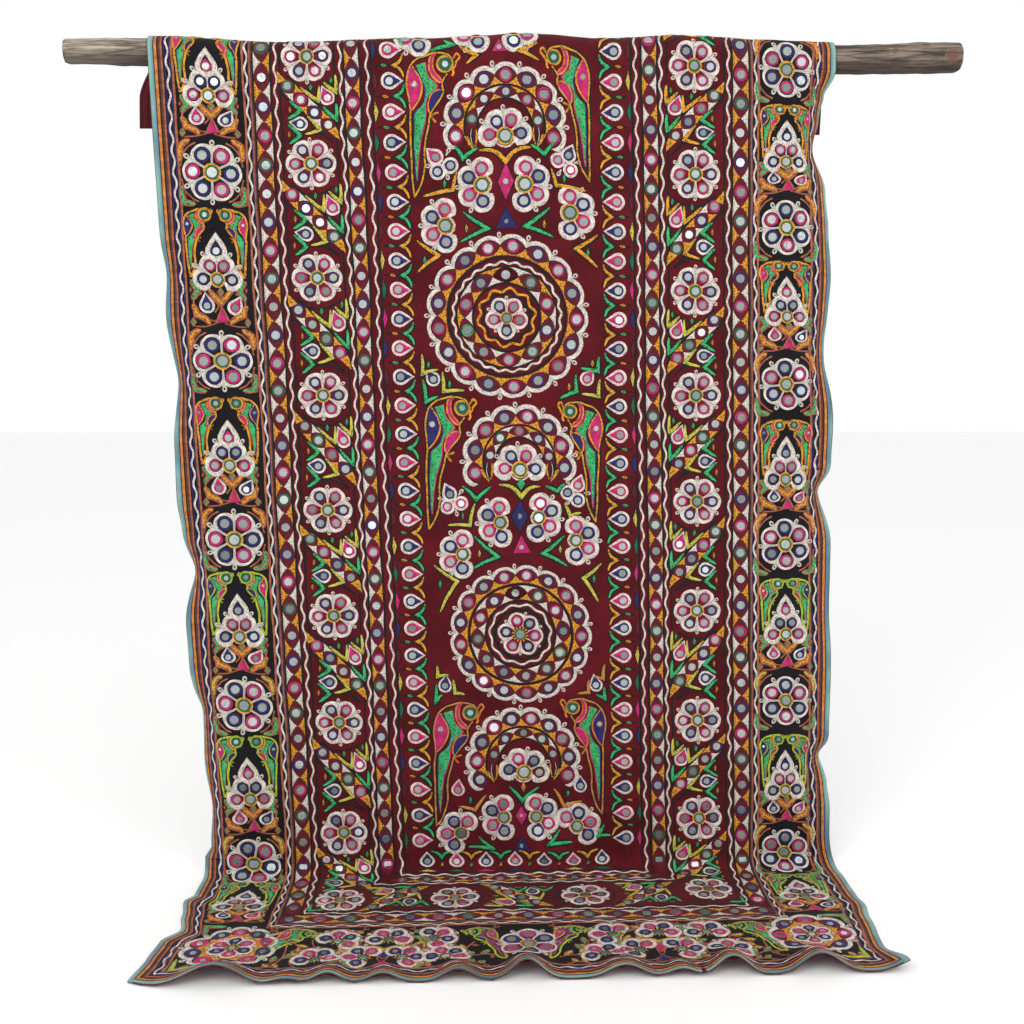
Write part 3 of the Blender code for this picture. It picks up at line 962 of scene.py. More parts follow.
def ring(place, inner, outer, thread, rise=0.9, sides=16, tipIn=0.0, tipOut=0.0):
    angles = np.linspace(0, 2 * math.pi, sides + 1)
    edges = (place.to(dropEdge(inner, tipIn, angles)), place.to(dropEdge(outer, tipOut, angles)))
    stitchBand(thread, *edges, rise, ends=False)


def mirror(place, radius, x=0.0, y=0.0):
    size = math.sqrt(abs(np.linalg.det(place.axes)))
    mirrors.append((panel, *place.to([(x, y)])[0], radius * size * mm))


def eye(place, thread, outer, glass, tip=0.0, rise=1.15):
    ring(place, glass - 0.7, outer, thread, rise, 16, tipOut=tip)
    mirror(place, glass)


# A drop with a mirror: coloured inside, white outside, tip towards y
def whiteDrop(place, thread, inner=10.5, glass=7.5, width=4.5, tip=20.0, outline="white"):
    eye(place, thread, inner, glass, tip)
    grow = (inner + width) / inner
    ring(place, inner, inner + width, outline, 0.8, 16, tip, tip * (grow + 1) / 2)


# A leaf folded into a V: along one arm to the corner and out along the other
def veeLeaf(place, corner, endA, endB, thread, width=8.0, edge="black", bow=0.02):
    corner, endA, endB = (np.asarray(point, dtype=float) for point in (corner, endA, endB))
    arms = []
    for end, other in ((endA, endB), (endB, endA)):
        along = end - corner
        side = np.array([-along[1], along[0]])
        side = side if side @ (other - corner) > 0 else -side
        t = np.linspace(0, 1, 7)[:, None]
        arms.append(corner + along * t - side * bow * np.sin(math.pi * t))
    points = np.vstack([arms[0][::-1], arms[1][1:]])
    line(place, points, width + 6.0, edge, 0.4, taper=0.3)
    line(place, points, width, thread, 0.95, taper=0.42)


def leaf(place, start, end, thread, width=8.0, edge="black"):
    line(place, [start, end], width + 5.5, edge, 0.4, taper=0.4)
    line(place, [start, end], width, thread, 0.95, taper=0.6)


def diamond(place, x, y, wide, high, thread, edge="black", edgeWidth=2.5, glass=0.0):
    left = [(x, y - high), (x - wide, y), (x, y + high)]
    right = [(x, y - high), (x + wide, y), (x, y + high)]
    fill(place, left, right, thread, 0.8, edgeWidth * 1.6, edge, bend=False)
    if glass:
        eye(place.at(x, y), thread, glass + 2.5, glass)


def triangle(place, x, y, wide, high, thread, edge="black", edgeWidth=3.0, glass=0.0):
    left = [(x, y + high), (x - wide, y)]
    right = [(x, y + high), (x + wide, y)]
    fill(place, left, right, thread, 0.8, edgeWidth, edge, bend=False)
    if glass:
        eye(place.at(x, y + high * 0.32), thread, glass + 2.0, glass)


def loopStitch(place, thread="white", size=1.0):
    line(place, [(0, -4.5 * size), (0, 2.5 * size)], 3.2, thread, 0.85)
    ring(place.at(0, 6.0 * size, tall=1.3), 1.8 * size, 4.5 * size, thread, 1.0, 10)


flowerLook = {
    "distance": 37.5, "hole": 15.5, "rim": 26.5, "rimAt": 33.5, "start": 17.0, "ring": 12.4, "glass": 8.4,
    "heart": ((11.5, 17.0, "gold"), (8.4, 12.2, "darkGreen")), "heartGlass": 8.9,
    "loops": 1.0, "tips": True, "ground": "",
}


# White outline of one petal that points along y, with the half angle to its neighbour on each side
def petalBand(place, look, halves):
    sides = []
    for sign, halfAngle in zip((-1, 1), halves):
        centre, radius = look["rimAt"], look["rim"]
        start = look["start"]
        meets = halfAngle is not None and centre * math.sin(halfAngle) < radius
        if meets:
            reach = centre * math.cos(halfAngle)
            reach = reach + math.sqrt(radius**2 - (centre * math.sin(halfAngle)) ** 2)
            knee = np.array([reach * math.sin(halfAngle), reach * math.cos(halfAngle)])
            foot = np.array([start * math.sin(halfAngle), start * math.cos(halfAngle)])
            top = math.atan2(knee[0], knee[1] - centre)
            inFoot = np.array([max(1.0, foot[0] - 2.2), foot[1]])
        else:
            top = math.radians(118)
            knee = np.array([radius * math.sin(top), centre + radius * math.cos(top)])
            foot = np.array([7.5, start - 3])
            inFoot = np.array([3.0, start])
        turn = math.radians(115)
        inKnee = np.array([look["hole"] * math.sin(turn), look["distance"] + look["hole"] * math.cos(turn)])
        t = np.linspace(0, 1, 4)[:-1, None]
        arc = np.linspace(0, 1, 7)
        outArc = np.stack([radius * np.sin(top * (1 - arc)), centre + radius * np.cos(top * (1 - arc))], -1)
        inArc = turn * (1 - arc)
        inArc = np.stack([look["hole"] * np.sin(inArc), look["distance"] + look["hole"] * np.cos(inArc)], -1)
        out = np.vstack([foot * (1 - t) + knee * t, outArc])
        inner = np.vstack([inFoot * (1 - t) + inKnee * t, inArc])
        sides.append((out * (sign, 1), inner * (sign, 1)))
    outer = np.vstack([sides[0][0], sides[1][0][-2::-1]])
    inner = np.vstack([sides[0][1], sides[1][1][-2::-1]])
    stitchBand("white", place.to(outer), place.to(inner), 0.85)


# Petals as (angle, colour), anticlockwise from x
def flower(place, petals, changes=None):
    look = dict(flowerLook, **(changes or {}))
    angles = sorted(angle for angle, colour in petals)
    for angle, colour in petals:
        order = angles.index(angle)
        after = (angles[(order + 1) % len(angles)] - angle) % 360 or 360
        before = (angle - angles[order - 1]) % 360 or 360
        halves = [math.radians(gap / 2) if gap < 100 else None for gap in (after, before)]
        petal = place.at(turn=angle - 90)
        petalBand(petal, look, halves)
        tip = max(look["distance"] - look["start"] - 1.0, look["ring"] + 1)
        middle = petal.at(0, look["distance"], 180)
        if look["ground"]:
            ring(middle, look["glass"] - 1, look["hole"], look["ground"], 0.4, 16, tipOut=tip + 2)
        eye(middle, colour, look["ring"], look["glass"], tip if look["tips"] else 0.0)
        if look["loops"] and halves[0] is not None:
            reach = look["rimAt"] * math.cos(halves[0])
            root = look["rim"] ** 2 - (look["rimAt"] * math.sin(halves[0])) ** 2
            reach = reach + math.sqrt(max(root, 0)) + 1.0
            loopStitch(place.at(turn=angle + after / 2 - 90).at(0, reach), size=look["loops"])
    for inner, outer, colour in look["heart"]:
        ring(place, inner, outer, colour, 1.0)
    mirror(place, look["heartGlass"])


def sixPetals(first="pink", second="navy", start=90):
    return [(start + 60 * n, (first, second)[n % 2]) for n in range(6)]


def spikes(place, inner, outer, count, thread="gold", width=3.0):
    for n in range(count):
        leafPlace = place.at(turn=360 * n / count)
        line(leafPlace, [(0, inner), (0, (inner + outer) / 2), (0, outer)], width, thread, 1.0)


# Mirrors in a row of dark eyes, with triangles in two colours that swap sides at every junction
def eyeChain(row, count, pitch, half, outer, glass, colours, first=0, fillers=("gold", "white")):
    t = np.linspace(-0.5, 0.5, 11)
    arch = np.clip(np.cos(math.pi * t), 0, 1) ** 0.8
    lower = np.clip(np.abs(np.sin(math.pi * t)), 0, 1) ** 0.8
    for number in range(count):
        x = number * pitch
        upper = np.stack([x + t * pitch, arch * (half - 0.6)], -1)
        stitchBand("maroon", row.to(upper), row.to(upper * (1, -1)), 0.45)
        eye(row.at(x), colours[(first + number) % len(colours)], outer, glass)
        if number == count - 1:
            break
        middle = x + pitch / 2
        for side in (1, -1):
            thread = fillers[(first + number + (side > 0)) % 2]
            far = np.stack([middle + t * pitch, np.full(11, side * half)], -1)
            near = np.stack([middle + t * pitch, side * np.minimum(lower * half + 0.9, half)], -1)
            stitchBand(thread, row.to(far), row.to(near), 0.75)


# A row of mirrors in dark eyes, white scallops outside them and gold points inside
def scallopRow(row, count, pitch, half, low, high, outer, glass, colours, closed=False, base=4.0):
    t = np.linspace(-math.pi / 2, math.pi / 2, 13)
    x = pitch / 2 * np.sin(t)
    arch = np.clip(np.cos(math.pi * x / pitch), 0, 1) ** 0.75
    for number in range(count):
        middle = number * pitch
        upper = np.stack([middle + x, arch * half], -1)
        stitchBand("maroon", row.to(upper * (1, 0.95)), row.to(upper * (1, -0.95)), 0.45)
        line(row, upper, 2.2, "black", 0.5)
        top = np.stack([middle + x, low + (high - low) * np.cos(t) ** 1.1], -1)
        near = np.stack([middle + x, np.minimum(arch * half + 1.0, half + 1.0)], -1)
        stitchBand("white", row.to(top), row.to(near), 0.85)
        eye(row.at(middle), colours[number % len(colours)], outer, glass)
        if number < count - 1 or closed:
            loopStitch(row.at(middle + pitch / 2, low + (high - low) * 0.48))
            between = np.linspace(-0.5, 0.5, 9)
            along = middle + pitch / 2 + between * pitch
            edge = np.clip(np.abs(np.sin(math.pi * between)), 0, 1) ** 0.75 * half + 0.9
            far = np.stack([along, np.full(9, -half - base)], -1)
            near = np.stack([along, -np.minimum(edge, half + 0.9)], -1)
            stitchBand("gold", row.to(far), row.to(near), 0.8)


def ringLine(place, radius, width, thread, rise=0.5, wave=0.0, waves=0):
    angles = np.linspace(0, 2 * math.pi, max(64, waves * 10), endpoint=False)
    reach = radius + wave * np.sin(waves * angles)
    path = np.stack([reach * np.cos(angles), reach * np.sin(angles)], -1)
    line(place, path, width, thread, rise, closed=True)


def arcLine(place, radius, start, end, width, thread, rise=0.5):
    angles = np.radians(np.linspace(start, end, max(5, int(abs(end - start) * radius / 400))))
    line(place, np.stack([radius * np.cos(angles), radius * np.sin(angles)], -1), width, thread, rise)


# Lines that run down the left, along the floor end and up the right, over the pole to the rear
rearStop = -0.166
lineColumns = {"L1": -0.637, "L2": -0.490, "L3": -0.4345, "L4": -0.309, "L5": -0.2575}
lineColumns.update({"R5": 0.2605, "R4": 0.3095, "R3": 0.4405, "R2": 0.4945, "R1": 0.6205})
turnsAt = {"1": 2.114, "2": 1.934, "3": 1.881, "4": 1.755, "5": 1.718}


def frameLine(left, bottom, right, width, thread, rise=0.55, wave=0.0, period=0.041):
    corners = np.array([(left, rearStop), (left, bottom), (right, bottom), (right, rearStop)]) * (1000, -1000)
    legs = []
    for a, b in zip(corners, corners[1:]):
        length = np.linalg.norm(b - a)
        waves = round(length / period / 1000)
        t = np.linspace(0, 1, waves * 8 + 1 if wave else round(length / 20) + 1)[:-1, None]
        ahead = (b - a) / length
        aside = np.array([-ahead[1], ahead[0]])
        legs.append(a + (b - a) * t + aside * wave * np.sin(2 * math.pi * waves * t))
    line(plan, np.vstack(legs + [corners[-1:]]), width, thread, rise)


def besideLine(name, away, width, thread, rise=0.55, wave=0.0, squeeze=1.0):
    left, right = lineColumns["L" + name] + away * mm, lineColumns["R" + name] - away * mm
    frameLine(left, turnsAt[name] - away * mm * squeeze, right, width, thread, rise, wave)


def edgeLine(away, width, thread, rise=0.55):
    frameLine(leftEdge + away * mm, hem - away * mm, rightEdge - away * mm, width, thread, rise)


panel = "border"
for away, width, thread in (
    (11.9, 1.4, "black"), (15.3, 5.2, "orange"), (19.3, 2.2, "black"), (22.6, 3.6, "brown"),
    (26.6, 3.6, "rust"), (32.0, 2.2, "navy"), (41.8, 2.4, "navy"), (46.2, 4.2, "rust"),
):
    edgeLine(away, width, thread)
besideLine("1", 0.0, 3.6, "white", 0.8, 2.7)
panel = "bands"
for away, width, thread in (
    (-6.2, 4.0, "rust"), (4.3, 1.8, "navy"), (6.9, 2.6, "rust"), (9.6, 2.4, "brown"),
    (12.6, 3.6, "black"), (46.6, 4.6, "black"),
):
    besideLine("2", away, width, thread)
besideLine("2", 0.0, 3.6, "white", 0.8, 2.7)
besideLine("3", 0.0, 3.6, "white", 0.8, 2.7)
besideLine("3", 8.6, 4.8, "black")
besideLine("4", -11.3, 4.4, "black")
besideLine("4", 0.0, 3.6, "white", 0.8, 2.7)
besideLine("4", 6.2, 4.0, "black", squeeze=0.72)
besideLine("4", 38.3, 4.6, "black", squeeze=0.72)
besideLine("5", 0.0, 3.6, "white", 0.8, 2.7, squeeze=0.72)
besideLine("5", 7.9, 4.2, "black")
print("lines stitched")

chainColours = ("maroon", "navy", "pink", "darkGreen")


def sideRow(u, s, inwards):
    return Spot(u, s).at(turn=-90, tall=inwards)


for u, inwards, first in ((-0.4605, 1, 0), (0.465, -1, 2)):
    eyeChain(sideRow(u, -0.135, inwards), 37, 55.3, 15.0, 13.3, 9.0, chainColours, first)
eyeChain(Spot(-0.4605, 1.9055), 17, 57.8, 14.6, 13.2, 9.0, chainColours, 1)
for u, inwards, first in ((-0.287, 1, 1), (0.2875, -1, 3)):
    eyeChain(sideRow(u, -0.140, inwards), 34, 55.4, 13.4, 12.4, 8.6, chainColours, first)
eyeChain(Spot(-0.2565, 1.7365), 11, 51.4, 10.4, 9.4, 7.0, chainColours, 2)
print("chains stitched")

# Flower bands: flowers in maroon rounds, with a slanting chain and leaves between each two
bandLeftAt = [-0.157, 0.046, 0.249, 0.471, 0.704, 0.936, 1.154, 1.379, 1.618, 1.823]
bandRightAt = [-0.128, 0.0745, 0.2775, 0.5006, 0.7066, 0.9197, 1.149, 1.383, 1.597, 1.803]
bandFlowerLook = {
    "heart": ((14.0, 18.0, "gold"), (9.0, 14.5, "darkGreen")), "heartGlass": 10.2, "ring": 13.6, "glass": 9.4,
    "tips": False, "ground": "maroon", "hole": 14.6,
}


def bandFlower(place, turn=60):
    flower(place.at(size=0.82), sixPetals("pink", "navy", turn), bandFlowerLook)


def bandCell(place, first=0, lemon="lemon"):
    row = place.at(-44, 53, -47)
    eyeChain(row, 4, 38.7, 14.0, 12.4, 8.6, ("maroon", "darkGreen", "pink", "navy"), first)
    for flame in (place.at(-56, 68, 20, 0.9), place.at(46, -48, 205)):
        left, right = [(-10, -8), (-8, 4), (-2, 20)], [(10, -8), (5, 4), (-2, 20)]
        fill(flame, left, right, "gold", 0.8, 3.0, bend=False)
        line(flame, [(-2, -4), (-3, 12)], 3.4, "maroon", 1.0, taper=0.6)
    line(place, [(-46, 76), (-30, 62), (50, -24), (56, -46)], 4.4, "black", 0.45)
    line(place, [(-58, 62), (-56, 38), (22, -50), (42, -70)], 4.4, "black", 0.45)
    vees = (
        ((17, 21), (-18, 51), (19, 53), lemon), ((52, 37), (28, 59), (51, 74), lemon),
        ((52, -21), (26, 8), (52, 13), "green"), ((-19, 1), (-41, 22), (-45, -16), "green"),
        ((-22, -52), (-46, -29), (-45, -70), "green"), ((18, -41), (-6, -11), (-13, -50), lemon),
    )
    for corner, endA, endB, thread in vees:
        veeLeaf(place, corner, endA, endB, thread, 8.4, bow=0.03)
    for x, y, wide, high, thread in (
        (2, 50, 4, 7, "green"), (43, 62, 3.5, 7, "green"), (-40, 3, 3, 7, "gold"), (-45, -50, 3, 7, "gold"),
    ):
        diamond(place, x, y, wide, high, thread, edgeWidth=1.5)
    whiteDrop(place.at(35, 26, 22), "pink", 11.2, 7.4, 4.8, 24.0)
    whiteDrop(place.at(-21, -27, 80), "navy", 10.8, 7.2, 4.6, 19.0)


for places, u, flip in ((bandLeftAt, -0.3735, 1), (bandRightAt, 0.3745, -1)):
    for number, s in enumerate(places):
        spot = Spot(u, s)
        if s > -0.14:
            bandFlower(spot if s > -0.1 else spot.at(size=0.8))
        for side in (1, -1):
            if number or side < 0 < s + 0.14:
                arcLine(spot, 61, 90 * side - 44, 90 * side + 44, 4.6, "black", 0.4)
    for number, (above, below) in enumerate(zip(places, places[1:])):
        tall = (below - above) / 0.222
        place = Spot(u + 0.004 * flip, (above + below) / 2).at(flip=flip, size=0.97, tall=tall)
        bandCell(place, number, "gold" if flip < 0 and number < 3 else "lemon")
for u, s in ((-0.144, 1.822), (0.120, 1.820)):
    bandFlower(Spot(u, s).at(tall=0.95), 64)
    for side in (0, 180):
        arcLine(Spot(u, s), 58, side - 40, side + 40, 4.6, "black", 0.4)
for u, flip, wide in ((-0.2585, 1, 1.04), (-0.012, -1, 1.12), (0.247, 1, 1.0)):
    bandCell(Spot(u, 1.818).at(turn=90, flip=flip, tall=wide, size=0.88), 1)
veeLeaf(Spot(-0.429, 1.869), (0, 0), (2, 26), (28, 2), "green", 8.0)
veeLeaf(Spot(0.434, 1.866), (0, 0), (-2, 26), (-28, 2), "green", 8.0)
print("flower bands stitched")

# Drops in white along both sides and the floor end of the field
panel = "field"
dropLook = {"inner": 11.0, "glass": 7.8, "width": 5.0, "tip": 22.5}


def dropRow(row, count, pitch, first=0):
    lensColours = ("lemon", "darkGreen", "pink", "navy", "maroon")
    for n in range(count):
        x = n * pitch
        cap = np.linspace(-1, 1, 7)
        flat = np.stack([x + cap * 20, 12.5 - 2.5 * (1 - np.abs(cap))], -1)
        top = np.stack([x + cap * 20, 12.5 + 6.5 * (1 - np.abs(cap))], -1)
        line(row, top, 3.4, "black", 0.5)
        stitchBand(lensColours[(first + n) % 5], row.to(flat), row.to(top), 0.75)
        thread = ("navy", "pink")[(first + n) % 2]
        whiteDrop(row.at(x, 41.5), thread, **dropLook)
        if n < count - 1:
            middle = x + pitch / 2
            green = (first + n) % 2 == 0
            line(row, [(middle, 17), (middle, 52)], 4.4, "black", 0.4)
            line(row, [(middle, 26), (middle, 39)], 5.0, "gold" if green else "green", 0.9, taper=0.5)
            corner, arms = (middle, 51.5), [(middle - 23, 70), (middle + 23, 70)]
            veeLeaf(row, corner, *arms, "green" if green else "gold", 6.8, bow=-0.16)


dropRow(sideRow(-0.2575, -0.130, 1), 32, 57.0, 0)
dropRow(sideRow(0.2605, -0.128, -1), 32, 57.0, 1)
dropRow(Spot(-0.203, 1.718).at(tall=0.80), 7, 61.7, 0)
print("drops stitched")


# The field: horseshoes, rounds, groups of flowers and parrots
def fourPetals(u, s, flip=1, turn=0.0, broad=False):
    petals = [(90, "pink"), (147, "navy"), (213, "pink"), (270, "navy")]
    look = {
        "distance": 29.5, "hole": 13.6, "rim": 22.5, "rimAt": 28.5, "start": 15.0, "ring": 13.2, "glass": 9.0,
        "heart": ((12.2, 15.0, "gold"), (8.6, 12.6, "darkGreen")), "heartGlass": 9.2, "tips": False,
    }
    if broad:
        look.update({"distance": 31, "rim": 23.0, "rimAt": 30, "start": 17.5, "heartGlass": 10.6})
        look["heart"] = ((14.0, 17.5, "gold"), (10.0, 14.5, "darkGreen"))
    place = Spot(u, s).at(flip=flip, turn=turn)
    flower(place, petals, look)
    arcLine(place, 18.5 if broad else 16.0, -85, 65, 2.6, "white", 0.8)


# The first petal has a tip; angles are anticlockwise from x
def threePetals(u, s, angles, colours, size=0.9):
    place = Spot(u, s).at(size=size)
    for n, angle in enumerate(angles):
        petal = place.at(turn=angle - 90).at(0, 18.5)
        tip = 0.0 if n else 22.0
        eye(petal, colours[min(n, 1)], 11.8, 8.0, tip)
        ring(petal, 11.6, 17.0, "white", 0.8, 22, tip, tip * 1.26)
        loopStitch(place.at(turn=(angle + angles[n - 1]) / 2 + (90 if n == 2 else -90)).at(0, 24))


# Horseshoe of mirrors round a fan of petals: middle is the height of the bend over the heart
def horseshoe(u, s, middle, radius, outer, inner, fan, colours, innerColours):
    place = Spot(u, s)
    look = {
        "distance": 32, "hole": 12.6, "rim": 23.5, "rimAt": 31, "start": 17.5, "ring": 12.2, "glass": 8.2,
        "heart": ((13.5, 17.5, "gold"), (10.0, 14.0, "darkGreen")), "heartGlass": 10.8, "tips": False,
    }
    count, begin, end = outer
    pitch = math.radians(begin - end) / (count - 1) * radius
    centre = place.at(0, middle)
    row = RoundRow(centre, radius, begin)
    scallopRow(row, count, pitch, 15.0, 9.5, 24.5, 13.2, 9.6, colours, base=1.5)
    spread = math.degrees(0.5 * pitch / radius)
    arcLine(centre, radius - 18.8, begin + spread, end - spread, 4.6, "black", 0.9)
    innerCount, innerRadius, innerBegin, innerEnd = inner
    innerPitch = math.radians(innerBegin - innerEnd) / (innerCount - 1) * innerRadius
    innerRow = RoundRow(centre, innerRadius, innerBegin)
    eyeChain(innerRow, innerCount, innerPitch, 10.6, 10.4, 7.6, innerColours, fillers=("white", "gold"))
    arcLine(centre, innerRadius - 12.6, innerBegin + 22, innerEnd - 22, 4.4, "black", 0.5)
    for side in (1, -1):
        claw = centre.at(flip=side)
        curl = [(62, -36), (66, -26), (68, -14), (66, 0)]
        line(claw, curved(curl), 9.0, "black", 0.5, taper=0.3)
        line(claw, curved(curl), 3.2, "white", 0.9, taper=0.4)
        line(claw, curved([(60, -36), (57, -24), (56, -12), (57, -2)]), 3.2, "gold", 0.9, taper=0.4)
        inside, outside = [(80, -14), (72, -16), (62, -39)], [(81, -15), (76, -28), (63, -40)]
        fill(claw, inside, outside, "gold", 0.8, 2.5, bend=False)
    flower(place, fan, look)
    arcLine(place, 21.0, 200, 340, 3.2, "white", 0.8)


horseshoe(
    0.0034, 0.2075, 17, 98, (9, 188, -12), (5, 66.5, 165, 9),
    [(174, "pink"), (120, "navy"), (66, "pink"), (6, "navy")], ("pink", "navy"),
    ("darkGreen", "maroon", "navy", "pink", "darkGreen"),
)
horseshoe(
    0.014, 0.856, 16, 93, (8, 193, -7), (5, 62, 167, 11),
    [(176, "pink"), (123, "navy"), (64, "pink"), (4, "navy")], ("pink", "navy"),
    ("maroon", "darkGreen", "pink", "navy", "maroon"),
)
horseshoe(
    0.005, 1.491, 20, 97, (10, 200, -18), (5, 65, 162, 15),
    [(168, "navy"), (112, "pink"), (48, "navy"), (-4, "maroon")], ("navy", "pink"),
    ("maroon", "navy", "maroon", "darkGreen", "maroon"),
)


# Round of mirrors round a flower
def roundel(u, s, size, innerColours, inner=84.0, half=14.5, start=90.0):
    place = Spot(u, s).at(size=size)
    outer = 17
    pitch = 2 * math.pi * 139 / outer
    row = RoundRow(place, 139, 83)
    outerColours = ("pink",) + ("navy", "pink") * 8
    scallopRow(row, outer, pitch, 15.0, 8.5, 23.5, 13.2, 9.6, outerColours, True, 2.5)
    ringLine(place, 117.0, 5.2, "black")
    if inner < 90:
        ringLine(place, 107, 4.0, "white", 0.8, 2.2, 24)
        ringLine(place, 99.5, 4.6, "black")
    count = len(innerColours)
    innerRow = RoundRow(place, inner, start)
    innerPitch = 2 * math.pi * inner / count
    colours = tuple(innerColours) + (innerColours[0],)
    eyeChain(innerRow, count + 1, innerPitch, half, 12.6, 9.4, colours, fillers=("gold", "white"))
    ringLine(place, inner - half - 2.5, 4.8, "black")
    return place


firstColours = ("maroon", "darkGreen", "pink", "navy", "darkGreen", "pink", "maroon", "green", "pink", "navy")
firstHeart = {
    "distance": 26, "hole": 11.4, "rim": 18.0, "rimAt": 25, "start": 11.5, "ring": 11.0, "glass": 8.2,
    "heart": ((10.2, 12.8, "gold"), (8.0, 11.0, "darkGreen")), "heartGlass": 8.8, "tips": False, "loops": 0.8,
}
firstPetals = [(121, "navy"), (56, "pink"), (-11, "pink"), (-92, "navy"), (188, "pink")]
firstRound = roundel(-0.0026, 0.5516, 0.985, firstColours)
ringLine(firstRound, 55, 4.2, "gold", 0.9, 4.0, 10)
ringLine(firstRound, 47, 5.0, "black", 0.5, 3.0, 10)
flower(firstRound, firstPetals, firstHeart)

secondColours = (
    "maroon", "darkGreen", "pink", "navy", "green", "darkGreen", "maroon", "navy", "maroon", "darkGreen",
    "pink", "navy",
)
secondHeart = {
    "distance": 33, "hole": 14.0, "rim": 21.5, "rimAt": 31, "start": 19.5, "ring": 11.6, "glass": 8.2,
    "heart": ((9.6, 14.5, "darkGreen"),), "heartGlass": 10.5, "tips": False, "loops": 0.8,
}
secondPetals = [(101, "pink"), (48, "navy"), (-6, "pink"), (-60, "navy"), (-126, "pink"), (169, "navy")]
secondRound = roundel(0.0075, 1.1955, 0.90, secondColours, 98.5, 16.2, 95.0)
ringLine(secondRound, 69, 4.0, "white", 0.8, 2.6, 11)
ringLine(secondRound, 58.5, 7.0, "black", 0.5, 1.5, 12)
flower(secondRound, secondPetals, secondHeart)
spikes(secondRound, 13.5, 19.5, 14)
print("horseshoes and rounds stitched")

for u, s, flip, turn in (
    (-0.0435, 0.2975, 1, 2), (0.0398, 0.2995, -1, -4), (-0.1188, 0.3714, 1, 0), (0.1269, 0.351, -1, 0),
    (-0.0274, 0.9615, 1, 3), (0.0516, 0.9529, -1, -6), (-0.1077, 1.0266, 1, -1), (0.1267, 1.0008, -1, 0),
    (-0.0395, 1.5878, 1, 0), (0.0304, 1.5896, -1, 4), (-0.1312, 1.6215, 1, -29), (0.1162, 1.6103, -1, 50),
    (-0.0459, -0.001, 1, 2), (0.0262, -0.002, -1, -4), (-0.1563, 0.001, 1, 0),
):
    fourPetals(u, s, flip, turn, s < 0.9)
for u, s, angles, colours, size in (
    (-0.1215, 0.2545, (135, -14, 240), ("pink", "navy"), 0.92),
    (0.1215, 0.2560, (67, 167, -56), ("navy", "pink"), 0.86),
    (-0.1223, 0.9171, (113, -17, 222), ("navy", "pink"), 0.88),
    (0.1270, 0.9026, (69, 180, -75), ("pink", "navy"), 0.88),
):
    threePetals(u, s, angles, colours, size)
for u, s, wide, high, thread, glass in (
    (0.0028, 0.2937, 17, 35, "pink", 6.0), (0.0125, 0.9492, 18, 31, "navy", 6.0),
    (-0.0020, 1.5852, 13, 20, "pink", 4.0),
    (0.0155, 0.884, 9, 12, "green", 0.0), (0.0031, 1.5226, 6, 12, "orange", 0.0),
    (-0.104, 0.948, 3, 8, "green", 0.0), (0.097, 0.940, 3, 8, "green", 0.0),
    (-0.117, 0.292, 4, 9, "green", 0.0),
    (0.117, 0.286, 4, 9, "green", 0.0), (-0.077, 0.378, 4, 8, "gold", 0.0),
    (0.077, 0.374, 4, 8, "gold", 0.0),
    (-0.073, 1.025, 4, 8, "lemon", 0.0), (0.095, 1.019, 4, 8, "lemon", 0.0),
    (-0.154, 1.089, 4, 9, "green", 0.0),
    (0.161, 1.079, 4, 9, "green", 0.0), (-0.108, 1.548, 4, 8, "green", 0.0),
    (0.098, 1.540, 4, 8, "green", 0.0),
    (-0.161, 0.438, 4, 9, "green", 0.0), (0.161, 0.428, 4, 9, "green", 0.0),
    (-0.160, 0.645, 4, 7, "green", 0.0),
    (-0.120, 0.684, 4, 8, "green", 0.0), (0.166, 0.640, 4, 7, "gold", 0.0),
    (0.117, 0.687, 4, 8, "gold", 0.0),
):
    diamond(Spot(u, s), 0, 0, wide, high, thread, glass=glass)
for u, s, wide, high, thread in (
    (-0.005, 0.0330, 15, 22, "pink"), (0.0027, 0.3656, 21, 38, "navy"), (0.0149, 1.009, 19, 36, "pink"),
    (-0.0025, 1.6455, 17, 30, "navy"),
):
    triangle(Spot(u, s), 0, -15, wide, high, thread, glass=5.0)

